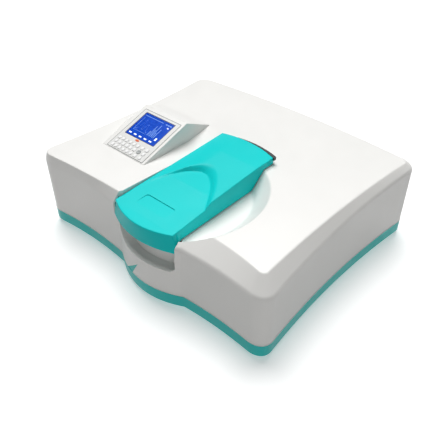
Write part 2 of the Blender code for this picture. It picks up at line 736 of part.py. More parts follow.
def console_bezel():
    """The panel plate, with a window for the display and a hole for each key."""
    low = PANEL_MARGIN
    high = (low[0] + PANEL_SIZE[0], low[1] + PANEL_SIZE[1])
    bezel = console_box(low, high, -PANEL_THICKNESS, 0.3 * MM, "console_bezel", "panel_film")
    window = (DISPLAY_LOW, DISPLAY_HIGH)
    cut(bezel, console_box(window[0], window[1], -10 * MM, 10 * MM))
    for column, across in enumerate(KEY_COLUMNS):
        for row, up in enumerate(KEY_ROWS):
            if (column, row) == ROUND_KEY:
                cut(bezel, key_cylinder(across, up, ROUND_KEY_RADIUS + KEY_PLAY, -10 * MM, 10 * MM))
                continue
            half = (KEY_SIZE[0] / 2 + KEY_PLAY, KEY_SIZE[1] / 2 + KEY_PLAY)
            low, high = (across - half[0], up - half[1]), (across + half[0], up + half[1])
            cut(bezel, console_box(low, high, -10 * MM, 10 * MM))


def key_cylinder(across, up, radius, bottom, top, name="tool", finish="steel"):
    middle = console_point(across, up, (bottom + top) / 2)
    return cylinder(middle, console_point(0, 0, 1) - PANEL_CORNER, radius, top - bottom, name, finish, 20)


def display():
    """The glass flush in the bezel and the module behind it."""
    play = 0.4 * MM
    low = tuple(value + play for value in DISPLAY_LOW)
    high = tuple(value - play for value in DISPLAY_HIGH)
    console_box(low, high, -1.6 * MM, -0.2 * MM, "display_window", "display_glass")
    module_drop = PANEL_THICKNESS + 0.6 * MM
    console_box(low, high, -module_drop - 6 * MM, -module_drop, "display_module", "black_plastic")


def keys():
    """Three rows of eight keys; one is round. Each slides into the panel."""
    bottom = KEY_STANDS - KEY_DEPTH
    for row, up in enumerate(KEY_ROWS):
        for column, across in enumerate(KEY_COLUMNS):
            origin = console_point(across, up)
            if (column, row) == ROUND_KEY:
                round_key = key_cylinder(
                    across, up, ROUND_KEY_RADIUS, bottom, KEY_STANDS, "key_select", "grey_key"
                )
                set_origin(round_key, origin)
                continue
            low = (across - KEY_SIZE[0] / 2, up - KEY_SIZE[1] / 2)
            high = (across + KEY_SIZE[0] / 2, up + KEY_SIZE[1] / 2)
            name = f"key_row{row + 1}_column{column + 1}"
            key = console_box(low, high, bottom, KEY_STANDS, name, "key_rubber")
            set_origin(key, origin)


def key_board():
    low = (PANEL_MARGIN[0] + 4 * MM, PANEL_MARGIN[1] + 4 * MM)
    high = (PANEL_MARGIN[0] + PANEL_SIZE[0] - 4 * MM, 33 * MM)
    console_box(low, high, -KEY_BOARD_DROP, -KEY_BOARD_DROP + 1.6 * MM, "key_board", "circuit_board")


def sample_tub():
    """The sample compartment: a tub hung from the dish floor, with a hole each side for the beam."""
    tub = box(TUB_LOW, TUB_HIGH, "sample_tub", "black_plastic")
    spread = Vector((TUB_FLANGE, TUB_FLANGE, 0))
    flange_low = Vector((TUB_LOW.x, TUB_LOW.y, DISH_FLOOR + GAP)) - spread
    flange_high = Vector((TUB_HIGH.x, TUB_HIGH.y, DISH_FLOOR + GAP + TUB_FLANGE_THICKNESS)) + spread
    neck_low = Vector((TUB_LOW.x, TUB_LOW.y, TUB_HIGH.z - MM))
    neck_high = Vector((TUB_HIGH.x, TUB_HIGH.y, DISH_FLOOR + MM))
    join(tub, box(neck_low, neck_high))
    join(tub, box(flange_low, flange_high))
    wall = Vector((TUB_WALL, TUB_WALL, TUB_WALL))
    cut(tub, box(TUB_LOW + wall, Vector((TUB_HIGH.x - TUB_WALL, TUB_HIGH.y - TUB_WALL, TOP))))
    cut(tub, cylinder((0, BEAM.y, BEAM.z), (1, 0, 0), BEAM_RADIUS, WIDTH / 2))
    screw_end = (NUT_X, TUB_HIGH.y, SCREW_HEIGHT)
    cut(tub, cylinder(screw_end, (0, 1, 0), SCREW_RADIUS + 2 * GAP, 20 * MM))
    return tub


def carriage_centre():
    """At rest the rearmost cuvette stands in the beam."""
    return BEAM.y - CUVETTE_PITCH * (CUVETTE_PLACES - 1) / 2


def cuvette_place(index):
    return Vector((CARRIAGE_X, carriage_centre() + CUVETTE_PITCH * (index - (CUVETTE_PLACES - 1) / 2)))


def cuvette_carriage():
    """A block with four square wells, open to the beam, and a nut arm round the lead screw."""
    half_length = CUVETTE_PITCH * CUVETTE_PLACES / 2 + 2 * MM
    middle_y = carriage_centre()
    half_width = CARRIAGE_WIDTH / 2
    low = Vector((CARRIAGE_X - half_width, middle_y - half_length, CARRIAGE_BOTTOM))
    high = Vector((CARRIAGE_X + half_width, middle_y + half_length, CARRIAGE_BOTTOM + CARRIAGE_HEIGHT))
    carriage = box(low, high, "cuvette_carriage", "black_metal")
    arm_low = (high.x - MM, middle_y - 8 * MM, SCREW_HEIGHT - 7 * MM)
    arm_high = (NUT_X + 7 * MM, middle_y + 8 * MM, SCREW_HEIGHT + 7 * MM)
    join(carriage, box(arm_low, arm_high))
    cut(carriage, cylinder((NUT_X, middle_y, SCREW_HEIGHT), (0, 1, 0), SCREW_RADIUS + GAP, 40 * MM))
    half = CUVETTE_SIDE / 2 + GAP
    for index in range(CUVETTE_PLACES):
        place = cuvette_place(index)
        well_low = (place.x - half, place.y - half, CUVETTE_FLOOR - GAP)
        cut(carriage, box(well_low, (place.x + half, place.y + half, TOP)))
        slit_low = (low.x - MM, place.y - 4 * MM, CUVETTE_FLOOR + 8 * MM)
        cut(carriage, box(slit_low, (high.x + MM, place.y + 4 * MM, TOP)))
    return set_origin(carriage, (CARRIAGE_X, middle_y, CARRIAGE_BOTTOM))


def cuvettes():
    """Two square cells in the first and last wells, open at the top."""
    for name, index in (("cuvette_sample", CUVETTE_PLACES - 1), ("cuvette_reference", 0)):
        place = cuvette_place(index)
        half = CUVETTE_SIDE / 2
        low = Vector((place.x - half, place.y - half, CUVETTE_FLOOR))
        high = Vector((place.x + half, place.y + half, CUVETTE_FLOOR + CUVETTE_HEIGHT))
        wall = Vector((1.25 * MM, 1.25 * MM, 0))
        cell = box(low, high, name, "quartz")
        cut(cell, box(low + wall + Vector((0, 0, 1.5 * MM)), high - wall + Vector((0, 0, 5 * MM))))


def lead_screw():
    """Turns to drive the carriage; its pulley stands outside the tub's rear wall."""
    front = TUB_LOW.y + TUB_WALL + GAP
    back = TUB_HIGH.y + 8 * MM
    middle = Vector((NUT_X, (front + back) / 2, SCREW_HEIGHT))
    screw = cylinder(middle, (0, 1, 0), SCREW_RADIUS, back - front, "lead_screw", sides=16)
    pulley = cylinder((NUT_X, back, SCREW_HEIGHT), (0, 1, 0), 9 * MM, 6 * MM, sides=20)
    join(screw, pulley)
    return set_origin(screw, middle)


def optical_plate():
    box(PLATE_LOW, PLATE_HIGH, "optical_plate", "black_metal")


def lamps():
    """A housing open at the top and the rear, with the two lamps in it."""
    half = Vector((38 * MM, 32 * MM))
    low = Vector((LAMP_CENTRE.x - half.x, LAMP_CENTRE.y - half.y, OPTICS_Z))
    high = Vector((LAMP_CENTRE.x + half.x, LAMP_CENTRE.y + half.y, OPTICS_Z + 75 * MM))
    housing = box(low, high, "lamp_housing", "black_metal")
    inside_high = Vector((high.x - 2 * MM, high.y + 5 * MM, high.z + 5 * MM))
    cut(housing, box(low + Vector((2, 2, 2)) * MM, inside_high))
    base = OPTICS_Z + 2 * MM + GAP
    for name, offset, radius in (("deuterium_lamp", -16 * MM, 9 * MM), ("tungsten_lamp", 17 * MM, 6 * MM)):
        centre = Vector((LAMP_CENTRE.x + offset, LAMP_CENTRE.y, base))
        lamp = cylinder(centre + Vector((0, 0, 8 * MM)), (0, 0, 1), 1.4 * radius, 16 * MM, name, "quartz")
        join(lamp, cylinder(centre + Vector((0, 0, 32 * MM)), (0, 0, 1), radius, 40 * MM))


def upright_mirror(name, centre, width, turn, finish="mirror"):
    """A mirror on a round post, turned about the post."""
    post_top = OPTICS_Z + 30 * MM
    post_middle = (*centre, (OPTICS_Z + post_top) / 2)
    post = cylinder(post_middle, (0, 0, 1), 6 * MM, post_top - OPTICS_Z, name, finish)
    plate = box((-width / 2, -3 * MM, post_top - 2 * MM), (width / 2, 3 * MM, post_top + 45 * MM))
    place = Matrix.Translation((*centre, 0)) @ Matrix.Rotation(turn, 4, "Z")
    plate.data.transform(place)
    join(post, plate)
    return set_origin(post, (*centre, OPTICS_Z))


def optics():
    upright_mirror("source_mirror", SOURCE_MIRROR_CENTRE, 34 * MM, math.radians(45))
    upright_mirror("collimating_mirror", MIRROR_CENTRE, 60 * MM, math.radians(70))
    upright_mirror("grating_turret", GRATING_CENTRE, 40 * MM, math.radians(-20), "steel")


def filter_wheel():
    """A disc with six filter holes that turns about a shaft along X."""
    thickness = 4 * MM
    wheel = cylinder(
        FILTER_WHEEL, (1, 0, 0), FILTER_WHEEL_RADIUS, thickness, "filter_wheel", "black_metal", sides=36
    )
    join(wheel, cylinder(FILTER_WHEEL, (1, 0, 0), 3 * MM, 20 * MM, sides=12))
    for i in range(6):
        turn = math.tau * i / 6
        place = FILTER_WHEEL + Vector((0, math.cos(turn), math.sin(turn))) * 15 * MM
        cut(wheel, cylinder(place, (1, 0, 0), 5 * MM, 10 * MM, sides=16))
    return set_origin(wheel, FILTER_WHEEL)


def detector_housing():
    """A closed-back block against the tub's left wall, bored for the beam."""
    low = Vector((TUB_LOW.x - 45 * MM, BEAM.y - 28 * MM, BEAM.z - 25 * MM))
    high = Vector((TUB_LOW.x - GAP, BEAM.y + 28 * MM, BEAM.z + 25 * MM))
    housing = box(low, high, "detector_housing", "black_metal")
    cut(housing, cylinder((high.x, BEAM.y, BEAM.z), (1, 0, 0), BEAM_RADIUS, 60 * MM))


BOARD_SIZE = Vector((123, 142, 1.6)) * MM
BOARD_CHIPS = ((-190, -110, 30, 30, 3), (-140, -110, 20, 40, 8), (-160, -45, 60, 16, 12))


def electronics():
    """The main board on the tray's floor and the power supply on the plate."""
    floor = TRAY_BOTTOM + SHELL
    board_z = floor + 6 * MM
    board_low = Vector((-218, -150, 0)) * MM + Vector((0, 0, board_z))
    board = box(board_low, board_low + BOARD_SIZE, "main_board", "circuit_board")
    for x, y, width, depth, height in BOARD_CHIPS:
        centre = Vector((x * MM, y * MM, board_z + MM))
        half = Vector((width / 2, depth / 2, 0)) * MM
        join(board, box(centre - half, centre + half + Vector((0, 0, height * MM))))
    low = Vector((-200 * MM, 15 * MM, OPTICS_Z))
    supply = box(low, low + Vector((90, 95, 38)) * MM, "power_supply", "steel")
    for i in range(8):
        slot_low = low + Vector((10 + 9 * i, 10, 30)) * MM
        cut(supply, box(slot_low, slot_low + Vector((4, 75, 20)) * MM))


def fan():
    """A square frame with a round throat, and its seven-bladed rotor."""
    half = Vector((FAN_SIDE / 2, FAN_DEPTH / 2, FAN_SIDE / 2))
    low, high = FAN_CENTRE - half, FAN_CENTRE + half
    frame = box(low, high, "fan_frame", "black_plastic")
    throat = FAN_SIDE / 2 - 2 * MM
    cut(frame, cylinder(FAN_CENTRE, (0, 1, 0), throat, 2 * FAN_DEPTH, sides=40))
    strut = Vector((throat + MM, 1 * MM, 2 * MM))
    strut_centre = FAN_CENTRE - Vector((0, FAN_DEPTH / 2 - 1 * MM, 0))
    join(frame, box(strut_centre - strut, strut_centre + strut))
    rotor = cylinder(FAN_CENTRE, (0, 1, 0), 11 * MM, 12 * MM, "fan_rotor", "black_plastic", 28)
    blades = 7
    for i in range(blades):
        blade = box((8 * MM, -4 * MM, -0.7 * MM), (throat - 1.5 * MM, 4 * MM, 0.7 * MM))
        pitch = Matrix.Rotation(math.radians(35), 4, "X")
        turn = Matrix.Rotation(math.tau * i / blades, 4, "Y")
        blade.data.transform(Matrix.Translation(FAN_CENTRE) @ turn @ pitch)
        join(rotor, blade)
    return set_origin(rotor, FAN_CENTRE)


def cut_mouth(fitting, middle, half, depth):
    """Cuts the mouth of a rear fitting to this depth inside the case's wall."""
    ahead = Vector((0, 5 * MM, 0))
    cut(fitting, box(middle - half - Vector((0, depth, 0)), middle + half + ahead))


def power_inlet():
    """A three-blade appliance inlet set in the rear wall."""
    centre, width, height = REAR_FITTINGS["power_inlet"]
    face = rear_wall(centre.x)
    middle = Vector((centre.x, face, centre.z))
    half = Vector((width / 2, 0, height / 2))
    inlet = box(middle - half - Vector((0, 24 * MM, 0)), middle + half, "power_inlet", "black_plastic")
    rim = Vector((3 * MM, 0, 3 * MM))
    cut_mouth(inlet, middle, half - rim, 16 * MM)
    for x, z in ((-7, -2), (7, -2), (0, 3)):
        blade = Vector((middle.x + x * MM, face - 10 * MM, middle.z + z * MM))
        join(inlet, box(blade - Vector((1, 8, 2)) * MM, blade + Vector((1, 6, 2)) * MM))


def power_switch():
    """A frame set in the rear wall, and the rocker that turns in it about a cross axis."""
    centre, width, height = REAR_FITTINGS["power_switch"]
    face = rear_wall(centre.x)
    middle = Vector((centre.x, face, centre.z))
    half = Vector((width / 2, 0, height / 2))
    rim = Vector((2.5 * MM, 0, 3 * MM))
    frame = box(middle - half - Vector((0, 18 * MM, 0)), middle + half, "switch_frame", "black_plastic")
    cut_mouth(frame, middle, half - rim, 14 * MM)
    pivot = middle - Vector((0, ROCKER_PIVOT_DEPTH, 0))
    half_width = half.x - rim.x - 0.6 * MM
    reach = half.z - rim.z - 0.8 * MM
    profile = [(-4, -0.9), (3.6, -1), (1.6, 0), (3.6, 1), (-4, 0.9)]
    points = [Vector((x, y * MM, z * reach)) for x in (-half_width, half_width) for y, z in profile]
    tilt = Matrix.Rotation(ROCKER_TILT, 4, "X")
    shape = bmesh.new()
    verts = [shape.verts.new(pivot + tilt @ point) for point in points]
    near, far = verts[:5], verts[5:]
    shape.faces.new(near)
    shape.faces.new(far)
    for i in range(5):
        j = (i + 1) % 5
        shape.faces.new((near[i], near[j], far[j], far[i]))
    return set_origin(add_object("power_rocker", shape, "black_plastic"), pivot)


def data_port():
    """A nine-way data socket: a metal collar round a plastic block."""
    centre, width, height = REAR_FITTINGS["data_port"]
    face = rear_wall(centre.x)
    middle = Vector((centre.x, face, centre.z))
    half = Vector((width / 2, 0, height / 2))
    port = box(middle - half - Vector((0, 14 * MM, 0)), middle + half, "data_port", "steel")
    rim = Vector((7 * MM, 0, 2.2 * MM))
    cut_mouth(port, middle, half - rim, 6 * MM)


def build():
    clear_scene()
    top_case()
    base_tray()
    feet()
    console_bezel()
    display()
    keys()
    key_board()
    sample_lid()
    hinge_pin()
    hinge_bracket(-1, "hinge_bracket_left")
    hinge_bracket(1, "hinge_bracket_right")
    sample_tub()
    cuvette_carriage()
    cuvettes()
    lead_screw()
    optical_plate()
    lamps()
    optics()
    filter_wheel()
    detector_housing()
    electronics()
    fan()
    power_inlet()
    power_switch()
    data_port()


build()
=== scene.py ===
"""The looks of the benchtop spectrophotometer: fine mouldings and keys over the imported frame, their
materials, a plain floor and soft light. Metres, +Z up, front towards -Y."""

import json
import math

import bmesh
import bpy
from mathutils import Matrix, Vector


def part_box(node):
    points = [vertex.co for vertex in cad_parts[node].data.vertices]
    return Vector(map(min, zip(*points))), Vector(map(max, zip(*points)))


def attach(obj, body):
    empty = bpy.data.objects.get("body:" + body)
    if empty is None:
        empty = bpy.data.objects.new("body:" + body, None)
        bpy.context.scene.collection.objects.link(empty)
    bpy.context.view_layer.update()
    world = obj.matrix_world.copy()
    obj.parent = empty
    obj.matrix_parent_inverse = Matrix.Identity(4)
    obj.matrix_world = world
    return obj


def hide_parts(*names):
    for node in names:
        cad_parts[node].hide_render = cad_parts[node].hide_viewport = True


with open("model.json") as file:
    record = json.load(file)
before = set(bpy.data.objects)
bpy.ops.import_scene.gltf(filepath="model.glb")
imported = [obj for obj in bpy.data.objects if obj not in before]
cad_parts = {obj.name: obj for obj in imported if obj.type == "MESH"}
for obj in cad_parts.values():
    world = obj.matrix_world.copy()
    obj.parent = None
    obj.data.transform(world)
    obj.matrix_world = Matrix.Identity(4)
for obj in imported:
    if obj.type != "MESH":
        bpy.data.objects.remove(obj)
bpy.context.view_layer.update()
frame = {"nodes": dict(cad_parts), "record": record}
MM = 0.001

# Case: outline, heights and mouldings, as the frame has them
WIDTH = 500 * MM
LEFT_X = -WIDTH / 2
RIGHT_X = WIDTH / 2
FRONT_Y = -200.6 * MM
REAR_Y = 207.5 * MM
REAR_BOW = 9.0 * MM
SIDE_SAG = 13.5 * MM
FRONT_LEFT_SAG = 7.1 * MM
FRONT_RIGHT_SAG = 4.4 * MM
BULGE_LEFT = Vector((-51 * MM, -193.5 * MM))
BULGE_RIGHT = Vector((95 * MM, -197.5 * MM))
BULGE_BOW = 21.0 * MM
WALL_TRIMS = (33 * MM, 33 * MM, 33 * MM, 33 * MM)
TOP_TRIMS = (26 * MM, 14 * MM, 14 * MM, 26 * MM)
TOP_FRONT_LEFT = Vector((-243.0 * MM, -194.5 * MM))
TOP_FRONT_RIGHT = Vector((226.5 * MM, -177.0 * MM))
TOP_REAR_RIGHT = Vector((234.5 * MM, 192.0 * MM))
TOP_REAR_LEFT = Vector((-240.0 * MM, 199.5 * MM))
TOP_FRONT_MIDDLE = Vector((0.0, -180.6 * MM))
TOP_FRONT_LEFT_SAG = 3.4 * MM
TOP_FRONT_RIGHT_SAG = 14.3 * MM
TOP_RIGHT_SAG = 8.0 * MM
TOP_LEFT_SAG = 10.0 * MM
TOP_REAR_BOW = 14.0 * MM
SPLIT = 29.8 * MM
TRAY_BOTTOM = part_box("base_tray")[0].z
TOP = 145.7 * MM
CREASE = {"front_left": 130 * MM, "front_right": 121 * MM, "rear_right": 136 * MM, "rear_left": 139 * MM}
SHELL = 3 * MM
NOTCH = ((-21 * MM, SPLIT - 1.5 * MM), (-4 * MM, SPLIT - 1.5 * MM), (16 * MM, 60 * MM))
NOTCH_PLAY = 0.2 * MM
NOTCH_SETBACK = 0.9 * MM
SIDE_STEPS = 44
CORNER_STEPS = 14
LIP_HEIGHT = 1.6 * MM
LIP_STAND = 0.7 * MM
LIP_EDGE = 0.4 * MM
CREASE_ROUND = 5 * MM
EDGE_ROUND = 2.2 * MM
ROUND_STEPS = 4
TURNED_SIDES = 256
CUTTER_REACH = 10 * MM
SHARP_ANGLE = 32
MOULDING_SHARP_ANGLE = 28
TRAY_STEP = 0.5 * MM
TRAY_ROUND = 3 * MM
TRAY_ROUND_MIDDLE = 0.9 * MM
TRAY_GAP = 0.6 * MM

# The dish round the lid, and the finger recess in the bulge
DISH_CENTRE = Vector((12.6 * MM, -102.5 * MM))
DISH_RIM = 130.6 * MM
DISH_FLOOR_RADIUS = 104.7 * MM
DISH_FLOOR = 120 * MM
DISH_SIDE_MARGIN = 1.5 * MM
DISH_FLOOR_FILLET = 3 * MM
DISH_RIM_FILLET = 2.5 * MM
DISH_FLARE = Vector((30 * MM, 0, 2 * MM))
BULGE_CENTRE = Vector((22 * MM, -79.5 * MM))
RECESS_BACK_RADIUS = 117 * MM
RECESS_LEFT = -36 * MM
RECESS_RIGHT = 85 * MM
RECESS_LEDGE = 76 * MM
RECESS_SLOPE = 14 * MM
RECESS_BEND_STEPS = 8
RECESS_SPAN = (-250 * MM, -165 * MM)
RECESS_DRUM_MIDDLE = 115 * MM
RECESS_DRUM_HEIGHT = 110 * MM
RECESS_BACKING = (-240 * MM, -181 * MM)

# The lid, its hinge, a black strip on its rear edge that is mostly painted shade, and its label
LID_FRONT_LEFT = Vector((-50 * MM, -192.5 * MM))
LID_FRONT_RIGHT = Vector((77 * MM, -194.5 * MM))
LID_REAR_LEFT = Vector((-41 * MM, 40.5 * MM))
LID_REAR_RIGHT = Vector((75 * MM, 35.5 * MM))
LID_FRONT_BOW = 17.5 * MM
LID_REAR_BOW = 10.0 * MM
LID_WALL = 3 * MM
LID_REAR_TOP = 158 * MM
LID_SHOULDER_TOP = 151 * MM
LID_FRONT_BACK_TOP = 146.5 * MM
LID_FRONT_TOP = 138.5 * MM
LID_CREST = {"middle": 14 * MM, "top": -42 * MM, "left": (51 * MM, 73 * MM), "right": (62 * MM, 72 * MM)}
LID_FOOT = {"middle": 10 * MM, "top": -59 * MM, "left": (50 * MM, 51 * MM), "right": (67 * MM, 70 * MM)}
LID_ARCH_POWER = 1.75
LID_STEP_LENGTH = 5 * MM
LID_LEFT_BLEND = 0.38
LID_FLARE = 7.5 * MM
LID_FLARE_BACK = -179 * MM
LID_BEVEL_DROP = 4 * MM
LID_SKIRT_FRONT = 107.5 * MM
LID_SKIRT_FRONT_Y = -186 * MM
LID_CLEARANCE = 1.6 * MM
LID_SLOT_MARGIN = 1.5 * MM
LID_SLOT_BACK = -177 * MM
LID_SLOT_REACH = 60 * MM
LID_EDGE_ROUND = 1.6 * MM
LID_ACROSS = 72
LID_ALONG = 130
HINGE = Vector((17 * MM, 45 * MM, 153.2 * MM))
HINGE_PIN_RADIUS = 1.5 * MM
HINGE_PIN_HALF = 24 * MM
BRACKET_OFFSET = 18 * MM
BRACKET_WIDTH = 6 * MM
BRACKET_HEAD = 2.9 * MM
BOSS_HALF = 3 * MM
BOSS_TOP = 3.2 * MM
GAP = 0.3 * MM
# The black strip on the lid's rear edge, mostly painted shade for the dark band behind the lid
SHADE_STRIP_START = 0.25
SHADE_STRIP_END = 1.02
SHADE_STRIP_STEPS = 24
SHADE_STRIP_THINNEST = 0.2 * MM
SHADE_STRIP_THICKNESS = 5 * MM
SHADE_STRIP_LOW = 153.5 * MM
SHADE_STRIP_RISE = 1.4 * MM
SHADE_STRIP_SINK = 0.6 * MM
LABEL_LOW = (-20 * MM, -177 * MM)
LABEL_HIGH = (42 * MM, -153 * MM)
LABEL_DEPTH = 1.5 * MM
LABEL_CORNER = 4 * MM
LABEL_OVERCUT = 0.05 * MM

# The console, with places on its panel as (across, up its slope)
PANEL_CORNER = Vector((-177 * MM, -108.5 * MM, 146.4 * MM))
PANEL_SLOPE = math.radians(18.5)
PANEL_SIZE = (90 * MM, 99 * MM)
PANEL_MARGIN = (2 * MM, 1.2 * MM)
PANEL_SEAT = -2.8 * MM
PANEL_LEDGE = 3 * MM
CONSOLE_RIDGE = 108 * MM
CONSOLE_LEFT = -7 * MM
CONSOLE_RIGHT = 97.5 * MM
CONSOLE_ROUND = 1.8 * MM
CONSOLE_ROUND_STEPS = 3
# Corners as x and y, then how far in walls the inside's corner moves along each
CONSOLE_FOOT = (
    (-79 * MM, -108 * MM, -1, 1), (-79 * MM, -3 * MM, -1, -1), (-92 * MM, 66 * MM, -1, -3),
    (-212 * MM, 66 * MM, 1, -3), (-222 * MM, -20 * MM, 3, 0), (-186 * MM, -108 * MM, 1, 1),
)
DISPLAY_LOW = (11 * MM, 38.5 * MM)
DISPLAY_HIGH = (82.5 * MM, 94 * MM)
KEY_COLUMNS = [11.3 * MM + column * 9.25 * MM for column in range(6)] + [68.7 * MM, 80.4 * MM]
KEY_ROWS = [7.2 * MM, 16.4 * MM, 25.6 * MM]
KEY_SIZE = (5.6 * MM, 5.8 * MM)
KEY_STANDS = 1.3 * MM
KEY_DEPTH = 4.6 * MM
KEY_CORNER = 1.2 * MM
KEY_EDGE = 0.5 * MM
ROUND_KEY = (6, 1)
ROUND_KEY_SIDES = 40
# Radii, and heights over the key's top, in millimetres
ROUND_KEY_PROFILE = ((4.1, -4.6), (4.1, -0.5), (3.9, -0.15), (3.5, 0), (2.4, -0.1), (1.6, -0.5), (0.5, -0.6))
FILM_TOP = 0.3 * MM
FILM_INSET = 0.1 * MM
FILM_LINE = {"width": 0.7 * MM, "height": 0.08 * MM, "radius": 2 * MM}
BORDER_REACH = 0.6 * MM
BORDER_LINE = {"width": 1.1 * MM, "height": 0.12 * MM, "radius": 0.8 * MM}
SMALLEST_CORNER = 0.2 * MM
RECTANGLE_STEPS = 6
SCREEN_OUT = 0.0
SCREEN_MARGIN = 3 * MM
MARK_HEIGHT = 0.05 * MM
CURVE_OUT = 0.08 * MM
CURVE_WIDTH = 0.8 * MM
AXIS_WIDTH = 0.5 * MM
GRID_WIDTH = 0.3 * MM
SCAN_STEPS = 48
SCAN_BASE = 0.10
SCAN_PEAKS = ((0.8, 0.33, 0.09), (0.55, 0.68, 0.12))
SCAN_BARS = (0.35, 0.8, 0.55, 0.95, 0.4, 0.7)
INDICATOR = (46.5 * MM, 34.5 * MM)
INDICATOR_RADII = (4.6 * MM, 2.1 * MM)
INDICATOR_SIDES = 32

# The cell tub, and the openings in the rear wall
TUB_LOW = Vector((-34 * MM, -171 * MM, 24 * MM))
TUB_HIGH = Vector((65 * MM, -19 * MM, 119 * MM))
REAR_HOLES = ((-150 * MM, 27 * MM, 20 * MM), (-105 * MM, 20 * MM, 26 * MM), (-55 * MM, 32 * MM, 13 * MM))
REAR_HOLE_Z = 70 * MM
FAN_X = 60 * MM
FAN_Z = 78 * MM
FAN_SIDE = 60 * MM
FAN_SLOTS = 5
FAN_SLOT_PITCH = 10 * MM
FAN_SLOT_HALF = 2.5 * MM
FAN_FRAME = 4 * MM
REAR_REACH = 20 * MM
WELD = 0.001 * MM

# The stage. A light is its azimuth, elevation and width in degrees, and its strength
CAMERA_PLACE = Vector((0.5276, -0.5901, 0.6439))
CAMERA_AZIMUTH = math.radians(42.34)
CAMERA_ELEVATION = math.radians(38.69)
CAMERA_ROLL = math.radians(-0.18)
CAMERA_LENS = 45.62
SKY_BELOW = 0.42
SKY_ABOVE = 0.12
SKY_BLEND = 0.1
FLOOR_COLOUR = (0.84, 0.85, 0.85)
FLOOR_GLOW = 0.36
FLOOR_HALF = 6
SUN = (226, 65, 46, 3.2)
FILL = (42, 15, 60, 0.5)


# ---- materials ----

def new_material(name, colour, roughness, metallic=0.0):
    """A material with a Principled shader, its node tree and that shader."""
    made = bpy.data.materials.new(name)
    made.use_nodes = True
    tree = made.node_tree
    shader = tree.nodes["Principled BSDF"]
    shader.inputs["Base Color"].default_value = (*colour, 1)
    shader.inputs["Roughness"].default_value = roughness
    shader.inputs["Metallic"].default_value = metallic
    return made, tree, shader


def noise(tree, scale, detail=2.0, stretch=(1, 1, 1)):
    """A noise texture in object space, in cycles per metre."""
    place = tree.nodes.new("ShaderNodeTexCoord")
    mapping = tree.nodes.new("ShaderNodeMapping")
    mapping.inputs["Scale"].default_value = stretch
    texture = tree.nodes.new("ShaderNodeTexNoise")
    texture.inputs["Scale"].default_value = scale
    texture.inputs["Detail"].default_value = detail
    tree.links.new(place.outputs["Object"], mapping.inputs["Vector"])
    tree.links.new(mapping.outputs["Vector"], texture.inputs["Vector"])
    return texture.outputs["Fac"]


def ramp(tree, value, low, high):
    """Colours or greys between low and high as the value goes from 0.3 to 0.7."""
    node = tree.nodes.new("ShaderNodeValToRGB")
    node.color_ramp.elements[0].position = 0.3
    node.color_ramp.elements[1].position = 0.7
    node.color_ramp.elements[0].color = (*low, 1)
    node.color_ramp.elements[1].color = (*high, 1)
    tree.links.new(value, node.inputs["Fac"])
    return node.outputs["Color"]


def add_bump(tree, shader, height, distance, strength=1.0):
    bump = tree.nodes.new("ShaderNodeBump")
    bump.inputs["Distance"].default_value = distance
    bump.inputs["Strength"].default_value = strength
    tree.links.new(height, bump.inputs["Height"])
    tree.links.new(bump.outputs["Normal"], shader.inputs["Normal"])


def plastic(name, colour, roughness, grain=1400, depth=0.02 * MM, variation=0.03, shine=0.5):
    """Moulded plastic: a spark-eroded grain, slow changes of tone, and patchy gloss."""
    made, tree, shader = new_material(name, colour, roughness)
    tone = noise(tree, scale=9, detail=3)
    low = [channel * (1 - variation) for channel in colour]
    high = [min(channel * (1 + variation), 1) for channel in colour]
    tree.links.new(ramp(tree, tone, low, high), shader.inputs["Base Color"])
    gloss = noise(tree, scale=45, detail=4)
    rough_low = [max(roughness - 0.05, 0.02)] * 3
    rough_high = [roughness + 0.06] * 3
    tree.links.new(ramp(tree, gloss, rough_low, rough_high), shader.inputs["Roughness"])
    add_bump(tree, shader, noise(tree, grain), depth, strength=0.5)
    shader.inputs["Specular IOR Level"].default_value = shine
    return made


def brushed(name, colour, roughness, stretch=(1, 1, 40)):
    """Metal with fine lines along one axis."""
    made, tree, shader = new_material(name, colour, roughness, metallic=1.0)
    lines = noise(tree, scale=60, detail=4, stretch=stretch)
    low = [max(roughness - 0.08, 0.03)] * 3
    high = [roughness + 0.12] * 3
    tree.links.new(ramp(tree, lines, low, high), shader.inputs["Roughness"])
    add_bump(tree, shader, lines, distance=0.01 * MM, strength=0.4)
    return made


def clear_quartz():
    made, tree, shader = new_material("clear_quartz", (0.93, 0.97, 0.98), 0.03)
    shader.inputs["Transmission Weight"].default_value = 1.0
    shader.inputs["IOR"].default_value = 1.46
    add_bump(tree, shader, noise(tree, scale=120), distance=0.01 * MM, strength=0.2)
    return made


def board_green():
    """Solder mask with a fine pattern of tracks."""
    made, tree, shader = new_material("board_green", (0.02, 0.20, 0.06), 0.4)
    place = tree.nodes.new("ShaderNodeTexCoord")
    tracks = tree.nodes.new("ShaderNodeTexBrick")
    tracks.inputs["Scale"].default_value = 60
    tracks.inputs["Mortar Size"].default_value = 0.03
    tracks.inputs["Color1"].default_value = (0.015, 0.16, 0.05, 1)
    tracks.inputs["Color2"].default_value = (0.02, 0.21, 0.07, 1)
    tracks.inputs["Mortar"].default_value = (0.05, 0.33, 0.12, 1)
    tree.links.new(place.outputs["Object"], tracks.inputs["Vector"])
    tree.links.new(tracks.outputs["Color"], shader.inputs["Base Color"])
    add_bump(tree, shader, tracks.outputs["Fac"], distance=0.05 * MM, strength=0.5)
    return made


def lit_screen(name, low, high, strength):
    """A backlit panel whose tone drifts slightly, under smooth glass."""
    made, tree, shader = new_material(name, low, roughness=0.18)
    tone = ramp(tree, noise(tree, scale=240, detail=3), low, high)
    tree.links.new(tone, shader.inputs["Base Color"])
    tree.links.new(tone, shader.inputs["Emission Color"])
    shader.inputs["Emission Strength"].default_value = strength
    shader.inputs["Specular IOR Level"].default_value = 0.06
    add_bump(tree, shader, noise(tree, scale=700), distance=0.01 * MM, strength=0.2)
    return made


MATERIALS = {}


def keep(name, make, *values, **options):
    MATERIALS[name] = make(name, *values, **options)


